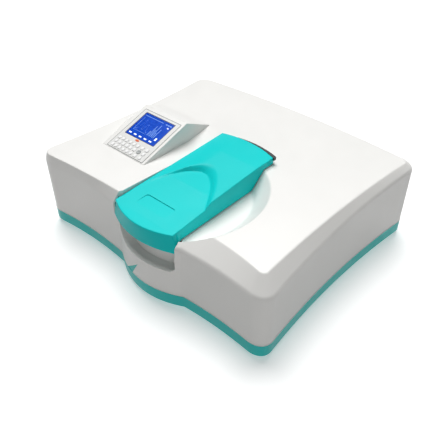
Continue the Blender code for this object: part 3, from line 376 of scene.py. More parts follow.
keep("white_plastic", plastic, (0.86, 0.855, 0.83), 0.38, variation=0.012)
keep("teal_plastic", plastic, (0.022, 0.58, 0.55), 0.35, variation=0.04, shine=0.25)
keep("lid_plastic", plastic, (0.004, 0.66, 0.655), 0.36, grain=1800, shine=0.12)
keep("panel_film", plastic, (0.78, 0.78, 0.76), 0.42, grain=2600, depth=0.01 * MM, variation=0.02)
keep("key_rubber", plastic, (0.93, 0.93, 0.93), 0.55, grain=3000, variation=0.02)
keep("grey_key", plastic, (0.42, 0.44, 0.44), 0.5, grain=3000)
keep("black_plastic", plastic, (0.025, 0.025, 0.027), 0.45, variation=0.1)
keep("rubber", plastic, (0.03, 0.03, 0.03), 0.8, grain=900, depth=0.05 * MM, variation=0.15)
keep("steel", brushed, (0.62, 0.62, 0.62), 0.28)
keep("black_metal", plastic, (0.035, 0.035, 0.04), 0.5, grain=1100, depth=0.04 * MM, variation=0.1)
MATERIALS["circuit_board"] = board_green()
MATERIALS["quartz"] = clear_quartz()
keep("mirror", brushed, (0.92, 0.92, 0.92), 0.05, (1, 1, 1))
keep("panel_line", plastic, (0.10, 0.12, 0.11), 0.5, grain=3000, variation=0.1)
keep("display_border", plastic, (0.012, 0.02, 0.09), 0.3, grain=3000, variation=0.1)
keep("screen_pale", lit_screen, (0.16, 0.32, 0.72), (0.24, 0.42, 0.80), 0.3)
keep("screen_dim", lit_screen, (0.03, 0.11, 0.55), (0.05, 0.15, 0.62), 0.3)
keep("screen_white", lit_screen, (0.75, 0.85, 0.95), (0.9, 0.95, 1.0), 0.6)
keep("indicator_orange", plastic, (0.80, 0.13, 0.03), 0.4, grain=2500, variation=0.08)
keep("display_glass", lit_screen, (0.002, 0.045, 0.40), (0.006, 0.07, 0.52), 0.3)


# ---- mesh tools ----

def new_object(name, data):
    made = bpy.data.objects.new(name, data)
    bpy.context.scene.collection.objects.link(made)
    return made


def mesh_object(name, shape):
    """An object that holds the bmesh, which is used up."""
    mesh = bpy.data.meshes.new(name)
    shape.to_mesh(mesh)
    shape.free()
    return new_object(name, mesh)


def add_piece(name, shape, finish, body="case"):
    """An object that holds the bmesh in this finish and rides on the body."""
    made = mesh_object(name, shape)
    made.data.materials.append(MATERIALS[finish])
    made.data.shade_smooth()
    made.data.set_sharp_from_angle(angle=math.radians(SHARP_ANGLE))
    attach(made, body)
    return made


def tool_object(shape):
    bmesh.ops.recalc_face_normals(shape, faces=shape.faces)
    return mesh_object("tool", shape)


def apply_boolean(body, tool, operation):
    """Combines the body with the tool in this way, and removes the tool."""
    step = body.modifiers.new(operation.lower(), "BOOLEAN")
    step.operation = operation
    step.object = tool
    graph = bpy.context.evaluated_depsgraph_get()
    made = bpy.data.meshes.new_from_object(body.evaluated_get(graph))
    body.modifiers.clear()
    body.data = made
    shape = bmesh.new()
    shape.from_mesh(made)
    bmesh.ops.remove_doubles(shape, verts=shape.verts, dist=WELD)
    bmesh.ops.dissolve_degenerate(shape, edges=shape.edges, dist=WELD)
    shape.to_mesh(made)
    shape.free()
    bpy.data.objects.remove(tool, do_unlink=True)
    return body


def cut(body, tool):
    return apply_boolean(body, tool, "DIFFERENCE")


def join(body, tool):
    return apply_boolean(body, tool, "UNION")


def box(low, high):
    low, high = Vector(low), Vector(high)
    shape = bmesh.new()
    bmesh.ops.create_cube(shape, size=1)
    bmesh.ops.scale(shape, vec=high - low, verts=shape.verts)
    bmesh.ops.translate(shape, vec=(low + high) / 2, verts=shape.verts)
    return tool_object(shape)


def cylinder(centre, axis, radius, length, sides=48):
    shape = bmesh.new()
    bmesh.ops.create_cone(
        shape, cap_ends=True, segments=sides, depth=length, radius1=radius, radius2=radius
    )
    turn = Vector(axis).to_track_quat("Z", "Y").to_matrix().to_4x4()
    bmesh.ops.transform(shape, matrix=Matrix.Translation(Vector(centre)) @ turn, verts=shape.verts)
    return tool_object(shape)


def hull(points):
    shape = bmesh.new()
    for point in points:
        shape.verts.new(point)
    bmesh.ops.convex_hull(shape, input=shape.verts)
    bmesh.ops.dissolve_limit(shape, angle_limit=math.radians(1), verts=shape.verts, edges=shape.edges)
    return tool_object(shape)


def bridge(shape, rings, ends=False):
    """Faces between each ring of matching vertices and the next, and over both ends if asked."""
    count = len(rings[0])
    for near, far in zip(rings, rings[1:]):
        for i in range(count):
            j = (i + 1) % count
            shape.faces.new((near[i], near[j], far[j], far[i]))
    if ends:
        shape.faces.new(rings[0][::-1])
        shape.faces.new(rings[-1])


def ring_skin(rings):
    """A closed solid through rings of matching points, with its two ends filled."""
    shape = bmesh.new()
    rows = [[shape.verts.new(point) for point in ring] for ring in rings]
    bridge(shape, rows)
    shape.faces.new(rows[0])
    shape.faces.new(rows[-1])
    crossed = [face for face in shape.faces if len(face.verts) == 4]
    bmesh.ops.triangulate(shape, faces=crossed)
    return tool_object(shape)


def soften(body, height, width, steps):
    """Rounds the edges above this height."""
    shape = bmesh.new()
    shape.from_mesh(body.data)
    bmesh.ops.recalc_face_normals(shape, faces=shape.faces)
    edges = [edge for edge in shape.edges
             if len(edge.link_faces) == 2 and min(vert.co.z for vert in edge.verts) > height]
    bmesh.ops.bevel(
        shape, geom=edges, offset=width, segments=steps, profile=0.5, affect="EDGES", clamp_overlap=True
    )
    bmesh.ops.remove_doubles(shape, verts=shape.verts, dist=WELD)
    bmesh.ops.recalc_face_normals(shape, faces=shape.faces)
    shape.to_mesh(body.data)
    shape.free()


# ---- the case's outline ----

def unit(value):
    """The value kept between 0 and 1."""
    return min(max(value, 0), 1)


def bowed(start, end, bow, share):
    """The point at this share of a shallow arc, bowed to the left of its direction."""
    along = end - start
    left = Vector((-along.y, along.x)).normalized()
    return start + along * share + left * bow * 4 * share * (1 - share)


def front_wall(share):
    """A point of the front wall: a hollow arc, the bulge, and a second hollow arc."""
    x = LEFT_X + WIDTH * share
    corner_left = Vector((LEFT_X, FRONT_Y))
    corner_right = Vector((RIGHT_X, FRONT_Y))
    stretches = (
        (corner_left, BULGE_LEFT, FRONT_LEFT_SAG),
        (BULGE_LEFT, BULGE_RIGHT, -BULGE_BOW),
        (BULGE_RIGHT, corner_right, FRONT_RIGHT_SAG),
    )
    for start, end, bow in stretches:
        if x <= end.x + 1e-9:
            return bowed(start, end, bow, (x - start.x) / (end.x - start.x))
    return corner_right


def front_top(share):
    """A point of the top face's front edge, two hollow arcs that meet in the middle."""
    x = TOP_FRONT_LEFT.x + (TOP_FRONT_RIGHT.x - TOP_FRONT_LEFT.x) * share
    if x < TOP_FRONT_MIDDLE.x:
        part = (x - TOP_FRONT_LEFT.x) / (TOP_FRONT_MIDDLE.x - TOP_FRONT_LEFT.x)
        return bowed(TOP_FRONT_LEFT, TOP_FRONT_MIDDLE, TOP_FRONT_LEFT_SAG, part)
    part = (x - TOP_FRONT_MIDDLE.x) / (TOP_FRONT_RIGHT.x - TOP_FRONT_MIDDLE.x)
    return bowed(TOP_FRONT_MIDDLE, TOP_FRONT_RIGHT, TOP_FRONT_RIGHT_SAG, part)


def rounded_corner(start, corner, end):
    """Points between start and end of an arc-like curve pulled towards the corner."""
    pull = 0.75
    points = []
    for i in range(1, CORNER_STEPS):
        t = i / CORNER_STEPS
        weights = ((1 - t) ** 2, 2 * t * (1 - t) * pull, t * t)
        total = sum(weights)
        points.append((start * weights[0] + corner * weights[1] + end * weights[2]) / total)
    return points


def side_shares(start_trim, end_trim, extra=()):
    """Even shares along a side from one trimmed end to the other, with the extra stops."""
    spacing = (1 - start_trim - end_trim) / SIDE_STEPS
    even = [start_trim + spacing * i for i in range(SIDE_STEPS + 1)]
    kept = [share for share in even if all(abs(share - stop) > spacing / 2 for stop in extra)]
    return sorted(kept + list(extra))


def outline(front, corners, bows, trims):
    """The case's outline, counter-clockwise from the front left: four sides and four round corners."""
    front_left, front_right, rear_right, rear_left = corners
    curves = (
        front,
        lambda share: bowed(front_right, rear_right, bows[0], share),
        lambda share: bowed(rear_right, rear_left, bows[1], share),
        lambda share: bowed(rear_left, front_left, bows[2], share),
    )
    stops = [(point.x - LEFT_X) / WIDTH for point in (BULGE_LEFT, BULGE_RIGHT)]
    runs = []
    for i, curve in enumerate(curves):
        shares = side_shares(trims[i] / WIDTH, trims[(i + 1) % 4] / WIDTH, stops if i == 0 else ())
        runs.append([curve(share) for share in shares])
    points = []
    for i, run in enumerate(runs):
        following = runs[(i + 1) % 4]
        points += run
        points += rounded_corner(run[-1], corners[(i + 1) % 4], following[0])
    return points


def wall_outline():
    corners = [
        Vector((LEFT_X, FRONT_Y)), Vector((RIGHT_X, FRONT_Y)),
        Vector((RIGHT_X, REAR_Y)), Vector((LEFT_X, REAR_Y)),
    ]
    return outline(front_wall, corners, (SIDE_SAG, -REAR_BOW, SIDE_SAG), WALL_TRIMS)


def top_outline():
    corners = [TOP_FRONT_LEFT, TOP_FRONT_RIGHT, TOP_REAR_RIGHT, TOP_REAR_LEFT]
    return outline(front_top, corners, (TOP_RIGHT_SAG, -TOP_REAR_BOW, TOP_LEFT_SAG), TOP_TRIMS)


def inset(points, distance):
    """The outline moved inwards by the distance."""
    moved = []
    for i, point in enumerate(points):
        along = (points[(i + 1) % len(points)] - points[i - 1]).normalized()
        moved.append(point + Vector((-along.y, along.x)) * distance)
    return moved


def crease_height(point):
    """Height of the fold between the wall and the sloping band."""
    across = unit((point.x - LEFT_X) / WIDTH)
    back = unit((point.y - FRONT_Y) / (REAR_Y - FRONT_Y))
    front = CREASE["front_left"] * (1 - across) + CREASE["front_right"] * across
    rear = CREASE["rear_left"] * (1 - across) + CREASE["rear_right"] * across
    return front * (1 - back) + rear * back


def raised(points, height):
    return [Vector((*point, height(point) if callable(height) else height)) for point in points]


def curve(start, corner, end, steps):
    """Points of a curve from start to end, pulled towards the corner."""
    points = []
    for i in range(steps + 1):
        t = i / steps
        points.append(start * (1 - t) ** 2 + corner * 2 * t * (1 - t) + end * t * t)
    return points


def fillet(before, corner, after, length):
    """Points of a curve that rounds the corner, starting and ending at this length from it."""
    start = corner + (before - corner).normalized() * length
    end = corner + (after - corner).normalized() * length
    return curve(start, corner, end, ROUND_STEPS)


def ellipse(wide, tall, sides):
    """Places round an ellipse with these radii."""
    turns = [math.tau * i / sides for i in range(sides)]
    return [Vector((wide * math.cos(turn), tall * math.sin(turn))) for turn in turns]


def case_form():
    """The case's outer form with a raised lip at its lower edge and rounded folds."""
    wall, edge = wall_outline(), top_outline()
    foot = inset(wall, LIP_STAND)
    middle = Vector((0, 0, TOP))
    columns = []
    for lip, low, point in zip(wall, foot, edge):
        base = Vector((*low, SPLIT))
        crease = Vector((*low, crease_height(lip)))
        top = Vector((*point, TOP))
        column = [Vector((*(lip.lerp(low, 0.6)), SPLIT)), Vector((*lip, SPLIT + LIP_EDGE))]
        column += [Vector((*lip, SPLIT + LIP_HEIGHT - LIP_EDGE)), Vector((*low, SPLIT + LIP_HEIGHT))]
        column += fillet(base, crease, top, CREASE_ROUND)
        column += fillet(crease, top, middle, EDGE_ROUND)
        columns.append(column)
    return ring_skin([list(ring) for ring in zip(*columns)])


def case_inside():
    wall, edge = inset(wall_outline(), SHELL), inset(top_outline(), SHELL)
    rings = [raised(wall, SPLIT - SHELL)]
    rings.append(raised(wall, lambda point: crease_height(point) - SHELL / 2))
    rings.append(raised(edge, TOP - SHELL))
    return ring_skin(rings)


def case_slice(shape):
    """The part of the case's solid form inside the shape."""
    return apply_boolean(case_form(), shape, "INTERSECT")


# ---- console frame ----

def console_point(across, up, out=0.0):
    """A place on the console's panel: across it, up its slope and out from it."""
    sine, cosine = math.sin(PANEL_SLOPE), math.cos(PANEL_SLOPE)
    return PANEL_CORNER + Vector((across, up * cosine - out * sine, up * sine + out * cosine))


def console_matrix(across=0.0, up=0.0, out=0.0):
    return Matrix.Translation(console_point(across, up, out)) @ Matrix.Rotation(PANEL_SLOPE, 4, "X")


def console_box(low, high, bottom, top):
    made = box((*low, bottom), (*high, top))
    made.data.transform(console_matrix())
    return made


def console_form(shrink):
    """The raised console, wider at its foot on the left and falling away to the rear."""
    points = []
    for up in (CONSOLE_RIDGE - shrink, shrink - MM):
        points.append(console_point(CONSOLE_LEFT + shrink, up, -shrink))
        points.append(console_point(CONSOLE_RIGHT - shrink, up, -shrink))
    foot_z = TOP - 2 * MM - 3 * shrink
    for x, y, walls_x, walls_y in CONSOLE_FOOT:
        points.append(Vector((x + walls_x * shrink, y + walls_y * shrink, foot_z)))
    made = hull(points)
    if not shrink:
        soften(made, TOP - MM, CONSOLE_ROUND, CONSOLE_ROUND_STEPS)
    return made


# ---- top case ----

def dish_height(x, y):
    radius = (Vector((x, y)) - DISH_CENTRE).length
    share = (radius - DISH_FLOOR_RADIUS) / (DISH_RIM - DISH_FLOOR_RADIUS)
    return DISH_FLOOR + (TOP - DISH_FLOOR) * unit(share)


def left_of_lid(margin):
    """A block that reaches to this margin from the lid's left side."""
    along = (LID_REAR_LEFT - LID_FRONT_LEFT).normalized()
    near = LID_FRONT_LEFT - along * DISH_RIM + Vector((-margin, 0))
    far = LID_REAR_LEFT + along * DISH_RIM + Vector((-margin, 0))
    outer = Vector((-WIDTH, 0))
    ring = [near, far, far + outer, near + outer]
    return hull([Vector((*point, z)) for point in ring for z in (0, 2 * TOP)])


def dish_cutter():
    """The dish as a turned solid: a flat floor, a small fillet, the cone and a flared rim."""
    floor_corner = Vector((DISH_FLOOR_RADIUS, 0, DISH_FLOOR))
    rim_corner = Vector((DISH_RIM, 0, TOP))
    flare = rim_corner + DISH_FLARE
    profile = fillet(Vector((0, 0, DISH_FLOOR)), floor_corner, rim_corner, DISH_FLOOR_FILLET)
    profile += fillet(floor_corner, rim_corner, flare, DISH_RIM_FILLET)
    profile += [flare, Vector((flare.x, 0, TOP + 2 * CUTTER_REACH))]
    rings = []
    for point in profile:
        circle = ellipse(point.x, point.x, TURNED_SIDES)
        rings.append([Vector((*(DISH_CENTRE + place), point.z)) for place in circle])
    return cut(ring_skin(rings), left_of_lid(DISH_SIDE_MARGIN))


def recess_cutter():
    """The finger recess in the bulge: a ledge in front of an upright drum wall."""
    above = TOP + CUTTER_REACH
    bend = [Vector((RECESS_LEFT, RECESS_LEDGE + 2 * RECESS_SLOPE)),
            Vector((RECESS_LEFT + 0.5 * RECESS_SLOPE, RECESS_LEDGE)),
            Vector((RECESS_LEFT + 2.4 * RECESS_SLOPE, RECESS_LEDGE))]
    section = [(RECESS_LEFT, above), *curve(*bend, RECESS_BEND_STEPS)]
    section.append((RECESS_RIGHT - RECESS_SLOPE / 2, RECESS_LEDGE))
    section.append((RECESS_RIGHT, RECESS_LEDGE + RECESS_SLOPE / 2))
    section.append((RECESS_RIGHT, above))
    block = hull([Vector((x, y, z)) for y in RECESS_SPAN for x, z in section])
    middle = (*BULGE_CENTRE, RECESS_DRUM_MIDDLE)
    drum = cylinder(middle, (0, 0, 1), RECESS_BACK_RADIUS, RECESS_DRUM_HEIGHT, TURNED_SIDES)
    return cut(block, drum)


def lid_slot_cutter():
    """The place in the case's front that the lid's deep front skirt hangs in."""
    points = []
    for corner, side in ((LID_FRONT_LEFT, -1), (LID_FRONT_RIGHT, 1)):
        back = Vector((corner.x + side * LID_SLOT_MARGIN, LID_SLOT_BACK))
        wide = Vector((back.x + side * LID_FLARE, corner.y))
        points += [back, wide, Vector((wide.x, LID_SLOT_BACK - LID_SLOT_REACH))]
    bottom, top = LID_SKIRT_FRONT - LID_CLEARANCE, TOP + CUTTER_REACH
    return hull([Vector((*point, z)) for point in points for z in (bottom, top)])


def rear_wall(x):
    share = (RIGHT_X - x) / WIDTH
    return bowed(Vector((RIGHT_X, REAR_Y)), Vector((LEFT_X, REAR_Y)), -REAR_BOW, share).y


def cut_rear_openings(case):
    for x, width, height in REAR_HOLES:
        half = Vector((width / 2 + GAP, REAR_REACH, height / 2 + GAP))
        middle = Vector((x, rear_wall(x), REAR_HOLE_Z))
        cut(case, box(middle - half, middle + half))
    half = Vector((FAN_SIDE / 2 - FAN_FRAME, REAR_REACH, FAN_SLOT_HALF))
    for i in range(FAN_SLOTS):
        middle = Vector((FAN_X, REAR_Y, FAN_Z + (i - (FAN_SLOTS - 1) / 2) * FAN_SLOT_PITCH))
        cut(case, box(middle - half, middle + half))


def top_case():
    """The white moulding: shell, dish, bulge with its recess, and raised console."""
    case = cut(case_form(), case_inside())
    drum_top, drum_bottom = TOP + MM, DISH_FLOOR - SHELL
    middle = (*DISH_CENTRE, (drum_bottom + drum_top) / 2)
    drum = cylinder(middle, (0, 0, 1), DISH_RIM + SHELL, drum_top - drum_bottom, TURNED_SIDES)
    cut(drum, left_of_lid(DISH_SIDE_MARGIN + SHELL))
    join(case, case_slice(drum))
    backing_low = Vector((LID_FRONT_LEFT.x - 2 * SHELL, RECESS_BACKING[0], RECESS_LEDGE - SHELL))
    backing_high = Vector((RECESS_RIGHT + 2 * SHELL, RECESS_BACKING[1], DISH_FLOOR + 2 * MM))
    join(case, case_slice(box(backing_low, backing_high)))
    join(case, console_form(0))
    cut(case, console_form(SHELL))
    cut(case, dish_cutter())
    cut(case, recess_cutter())
    cut(case, lid_slot_cutter())
    tub_low = TUB_LOW - Vector((MM, MM, 0))
    cut(case, box(tub_low, Vector((TUB_HIGH.x + MM, TUB_HIGH.y + MM, TOP))))
    cut_panel_opening(case)
    cut_rear_openings(case)
    cut(case, notch_wedge(0.0, -5 * MM, 2 * SHELL))
    finish_case(case, "top_case_skin", "white_plastic", "top_case")


def notch_wedge(shrink, front, back):
    """A wedge through the front wall at the bulge's left start, pointing up to the right."""
    middle = sum((Vector(corner) for corner in NOTCH), Vector((0, 0))) / len(NOTCH)
    points = []
    for corner in NOTCH:
        x, z = Vector(corner) + (middle - Vector(corner)).normalized() * shrink
        face = front_wall((x - LEFT_X) / WIDTH).y
        points += [(x, face + front, z), (x, face + back, z)]
    return hull(points)


def notch_tab():
    """The tray's tongue that fills the notch, set back from the wall's face."""
    tab = notch_wedge(NOTCH_PLAY, NOTCH_SETBACK, SHELL)
    tab.name = "base_tray_tab"
    tab.data.name = "base_tray_tab"
    tab.data.materials.append(MATERIALS["teal_plastic"])
    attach(tab, "case")


def cut_panel_opening(case):
    """The seat of the panel, and inside a ledge the hole behind it."""
    low = Vector(PANEL_MARGIN) - Vector((GAP, GAP))
    high = Vector(PANEL_MARGIN) + Vector(PANEL_SIZE) + Vector((GAP, GAP))
    cut(case, console_box(low, high, PANEL_SEAT, 8 * MM))
    ledge = Vector((PANEL_LEDGE, PANEL_LEDGE))
    cut(case, console_box(low + ledge, high - ledge, -12 * MM, 0))


def finish_case(made, name, finish, node):
    """Names a moulding, shades it evenly, and lets it stand for its CAD node."""
    made.name = name
    made.data.name = name
    made.data.materials.clear()
    made.data.materials.append(MATERIALS[finish])
    made.data.shade_smooth()
    made.data.set_sharp_from_angle(angle=math.radians(MOULDING_SHARP_ANGLE))
    even = made.modifiers.new("even_shading", "WEIGHTED_NORMAL")
    even.keep_sharp = True
    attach(made, "case" if node != "sample_lid" else "lid")
    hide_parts(node)


def base_tray():
    """The teal tray, with rounded lower edge."""
    wall = inset(wall_outline(), TRAY_STEP)
    tray = ring_skin([
        raised(inset(wall, TRAY_ROUND), TRAY_BOTTOM),
        raised(inset(wall, TRAY_ROUND_MIDDLE), TRAY_BOTTOM + TRAY_ROUND_MIDDLE),
        raised(wall, TRAY_BOTTOM + TRAY_ROUND),
        raised(wall, SPLIT - TRAY_GAP),
    ])
    inside = inset(wall, SHELL)
    cut(tray, ring_skin([raised(inside, TRAY_BOTTOM + SHELL), raised(inside, SPLIT + CUTTER_REACH)]))
    finish_case(tray, "base_tray_skin", "teal_plastic", "base_tray")


# ---- lid ----

def lid_edge(along):
    """The lid's left and right edges at this share of its length, from the front."""
    left = LID_FRONT_LEFT.lerp(LID_REAR_LEFT, along)
    right = LID_FRONT_RIGHT.lerp(LID_REAR_RIGHT, along)
    return left, right


def lid_place(across, along, margin=0.0):
    """A point of the lid's plan, with the whole plan grown by the margin."""
    left, right = lid_edge(along)
    point = left.lerp(right, across)
    bow = -LID_FRONT_BOW * (1 - along) + LID_REAR_BOW * along
    point.y += bow * 4 * across * (1 - across)
    return point + Vector(((2 * across - 1) * margin, (2 * along - 1) * margin))


def smooth_step(share):
    share = unit(share)
    return share * share * (3 - 2 * share)


def arch(x, middle, top, left, right):
    """A curve across the lid that falls away on both sides, each side by its (reach, fall)."""
    reach, fall = left if x < middle else right
    return top - fall * (abs(x - middle) / reach) ** LID_ARCH_POWER


def lid_top(point):
    """Height of the lid's top: a high rear and a low front, joined by a scoop that runs out on the left."""
    crest = arch(point.x, **LID_CREST)
    foot = min(arch(point.x, **LID_FOOT), crest - LID_STEP_LENGTH)
    along = (point.y - LID_FRONT_LEFT.y) / (LID_REAR_LEFT.y - LID_FRONT_LEFT.y)
    rear = LID_SHOULDER_TOP + (LID_REAR_TOP - LID_SHOULDER_TOP) * unit(2 * along - 0.6)
    front = LID_FRONT_TOP + (LID_FRONT_BACK_TOP - LID_FRONT_TOP) * unit(2.5 * along)
    left, right = lid_edge(along)
    near_left = 1 - smooth_step((point.x - left.x) / (right.x - left.x) / LID_LEFT_BLEND)
    straight = LID_FRONT_TOP + (LID_REAR_TOP - LID_FRONT_TOP) * along
    rear += (straight - rear) * near_left
    front += (straight - front) * near_left
    share = unit((point.y - foot) / (crest - foot))
    return front + (rear - front) * share * (2 - share)


def lid_bottom(point):
    """Height of the lid's lower edge, which follows the dish and drops in front of it."""
    if point.y < LID_SKIRT_FRONT_Y:
        return LID_SKIRT_FRONT
    return dish_height(point.x, point.y) + LID_CLEARANCE


def wall_place(across, along, margin=0.0):
    """A point of the lid's skirt in plan, which flares out sideways at the front."""
    place = lid_place(across, along, margin)
    share = (LID_FLARE_BACK - lid_place(across, along).y) / (LID_FLARE_BACK - LID_FRONT_LEFT.y)
    place.x += (2 * across - 1) * LID_FLARE * unit(share)
    return place


def lid_shares(count, length):
    """Shares from 0 to 1 with extra stops near both ends, where the lid's edge is round."""
    near = [LID_EDGE_ROUND * stop / length for stop in (0.0, 0.12, 0.35, 0.65, 1.0)]
    middle = [near[-1] + (1 - 2 * near[-1]) * i / count for i in range(1, count)]
    return near + middle + [1 - share for share in reversed(near)]


def edge_drop(across, along, width, length):
    """How far the rounded edge has fallen at this place."""
    inside = min(across * width, (1 - across) * width, along * length, (1 - along) * length)
    if inside >= LID_EDGE_ROUND:
        return 0.0
    rest = LID_EDGE_ROUND - inside
    return LID_EDGE_ROUND - math.sqrt(max(LID_EDGE_ROUND ** 2 - rest ** 2, 0))


def sample_lid():
    """The lid as one thin moulding: a top with rounded edges, an underside and skirts all round."""
    width = LID_FRONT_RIGHT.x - LID_FRONT_LEFT.x
    length = LID_REAR_LEFT.y - LID_FRONT_LEFT.y
    across, along = lid_shares(LID_ACROSS, width), lid_shares(LID_ALONG, length)
    shape = bmesh.new()
    grids = []
    for margin, drop in ((0, 0), (-LID_WALL, LID_WALL)):
        grid = []
        for v in along:
            row = []
            for u in across:
                place = lid_place(u, v, margin)
                height = lid_top(place) - drop - (0 if drop else edge_drop(u, v, width, length))
                row.append(shape.verts.new((*place, height)))
            grid.append(row)
        grids.append(grid)
        for lower, upper in zip(grid, grid[1:]):
            for i in range(len(across) - 1):
                shape.faces.new((lower[i], lower[i + 1], upper[i + 1], upper[i]))
    last_i, last_j = len(across) - 1, len(along) - 1
    rim = [(i, 0) for i in range(last_i)] + [(last_i, j) for j in range(last_j)]
    rim += [(i, last_j) for i in range(last_i, 0, -1)] + [(0, j) for j in range(last_j, 0, -1)]
    rings = []
    for grid, margin, drop in zip(grids, (0, -LID_WALL), (0, LID_WALL)):
        bevel, low = [], []
        for i, j in rim:
            u, v = across[i], along[j]
            fold = lid_top(lid_place(u, v)) - drop - LID_BEVEL_DROP
            bevel.append(shape.verts.new((*lid_place(u, v, margin), fold)))
            low.append(shape.verts.new((*wall_place(u, v, margin), lid_bottom(wall_place(u, v)))))
        rings.append([[grid[j][i] for i, j in rim], bevel, low])
    outer, inner = rings
    bridge(shape, outer + inner[::-1])
    lid = tool_object(shape)
    cut_label(lid)
    fit_hinge(lid)
    finish_case(lid, "sample_lid_skin", "lid_plastic", "sample_lid")


def rear_shade_strip():
    """A black strip on the lid's rear edge, thicker towards the right, where it stands past the corner; it
    is mostly painted shade, the dark band behind the lid.
    """
    shape = bmesh.new()
    rings = []
    for i in range(SHADE_STRIP_STEPS + 1):
        share = i / SHADE_STRIP_STEPS
        edge = lid_place(SHADE_STRIP_START + (SHADE_STRIP_END - SHADE_STRIP_START) * share, 1.0)
        front = edge.y - MM
        back = edge.y + SHADE_STRIP_THICKNESS * share + SHADE_STRIP_THINNEST
        high = LID_REAR_TOP + SHADE_STRIP_RISE * share - SHADE_STRIP_SINK
        places = ((front, SHADE_STRIP_LOW), (back, SHADE_STRIP_LOW), (back, high), (front, high))
        rings.append([shape.verts.new((edge.x, y, z)) for y, z in places])
    bridge(shape, rings, ends=True)
    bmesh.ops.recalc_face_normals(shape, faces=shape.faces)
    # Black plastic here paints the shade behind the lid's rear edge
    made = add_piece("sample_lid_rear_shade_strip", shape, "black_plastic", "lid")


def rounded_rectangle(low, high, radius):
    points = []
    corners = ((high[0], high[1], 0), (low[0], high[1], 90), (low[0], low[1], 180), (high[0], low[1], 270))
    for x, y, start in corners:
        centre_x = x - math.copysign(radius, x - (low[0] + high[0]) / 2)
        centre_y = y - math.copysign(radius, y - (low[1] + high[1]) / 2)
        for i in range(RECTANGLE_STEPS + 1):
            turn = math.radians(start + 90 * i / RECTANGLE_STEPS)
            points.append(Vector((centre_x + radius * math.cos(turn), centre_y + radius * math.sin(turn))))
    return points


def cut_label(lid):
    """A shallow ramp for a label: deepest along its rear edge, and level with the lid at its front."""
    points = rounded_rectangle(LABEL_LOW, LABEL_HIGH, LABEL_CORNER)
    length = LABEL_HIGH[1] - LABEL_LOW[1]
    floor = []
    for point in points:
        depth = LABEL_DEPTH * (point.y - LABEL_LOW[1]) / length - LABEL_OVERCUT
        floor.append(Vector((*point, lid_top(point) - depth)))
    above = [Vector((*point, LID_REAR_TOP)) for point in points]
    cut(lid, ring_skin([floor, above]))


def fit_hinge(lid):
    """A boss between the hinge's two brackets, room for the brackets, and the pin's hole."""
    width = BRACKET_OFFSET - BRACKET_WIDTH / 2 - 2 * GAP
    low = HINGE + Vector((-width, -BOSS_HALF, -BOSS_HALF))
    join(lid, box(low, HINGE + Vector((width, BOSS_HALF, BOSS_TOP))))
    for side in (-1, 1):
        middle = HINGE + Vector((side * BRACKET_OFFSET, 0, 0))
        half = Vector((BRACKET_WIDTH / 2 + 2 * GAP, 8 * MM, 0))
        cut(lid, box(middle - half - Vector((0, 0, 12 * MM)), middle + half))
        head = BRACKET_HEAD + 2 * GAP
        cut(lid, cylinder(middle, (1, 0, 0), head, 2 * half.x))
        cut(lid, box(middle - Vector((half.x, 0, MM)), middle + Vector((half.x, half.y, head))))
    cut(lid, cylinder(HINGE, (1, 0, 0), HINGE_PIN_RADIUS + GAP, 2 * HINGE_PIN_HALF + 2 * MM))


# ---- console pieces ----

def flat_piece(name, finish, points, out, height, taper=0.0):
    """A thin plate on the console's panel with this outline in panel coordinates, its top edge drawn in."""
    shape = bmesh.new()
    centre = sum(points, Vector((0, 0))) / len(points)
    rings = []
    for level, shrink in ((out, 0.0), (out + height - taper, 0.0), (out + height, taper)):
        ring = []
        for point in points:
            inward = (centre - point).normalized() * shrink
            ring.append(shape.verts.new(console_point(*(point + inward), level)))
        rings.append(ring)
    bridge(shape, rings, ends=True)
    made = add_piece(name, shape, finish)


def frame_piece(name, finish, low, high, width, height, radius):
    """A thin rectangular ring on the panel's film."""
    step = Vector((width, width))
    outer = rounded_rectangle(low, high, radius)
    inner = rounded_rectangle(low + step, high - step, max(radius - width, SMALLEST_CORNER))
    shape = bmesh.new()
    rings = []
    top = FILM_TOP + height
    for points, level in ((outer, FILM_TOP), (outer, top), (inner, top), (inner, FILM_TOP)):
        rings.append([shape.verts.new(console_point(*point, level)) for point in points])
    bridge(shape, rings + rings[:1])
    made = add_piece(name, shape, finish)


def console_outlines():
    """The dark line round the film, and the display's dark border."""
    inset_step = Vector((FILM_INSET, FILM_INSET))
    low = Vector(PANEL_MARGIN) + inset_step
    high = Vector(PANEL_MARGIN) + Vector(PANEL_SIZE) - inset_step
    frame_piece("film_outline", "panel_line", low, high, **FILM_LINE)
    reach = Vector((BORDER_REACH, BORDER_REACH))
    low, high = Vector(DISPLAY_LOW) - reach, Vector(DISPLAY_HIGH) + reach
    frame_piece("display_border", "display_border", low, high, **BORDER_LINE)


def screen_rectangle(name, finish, low, high):
    points = [Vector(low), Vector((high[0], low[1])), Vector(high), Vector((low[0], high[1]))]
    flat_piece(name, finish, points, SCREEN_OUT, MARK_HEIGHT)


def screen_strip(name, finish, line, width):
    """A thin ribbon on the screen along the line."""
    shape = bmesh.new()
    sides = []
    for side in (-width / 2, width / 2):
        places = [console_point(x, y + side, SCREEN_OUT + CURVE_OUT) for x, y in line]
        sides.append([shape.verts.new(place) for place in places])
    for k in range(len(line) - 1):
        shape.faces.new((sides[0][k], sides[0][k + 1], sides[1][k + 1], sides[1][k]))
    bmesh.ops.solidify(shape, geom=shape.faces, thickness=MARK_HEIGHT)
    made = add_piece(name, shape, finish)


def scan_height(share):
    """The drawn scan's height at this share of the graph's width, as a share of its height."""
    height = SCAN_BASE
    for peak, middle, spread in SCAN_PEAKS:
        height += peak * math.exp(-((share - middle) / spread) ** 2)
    return height


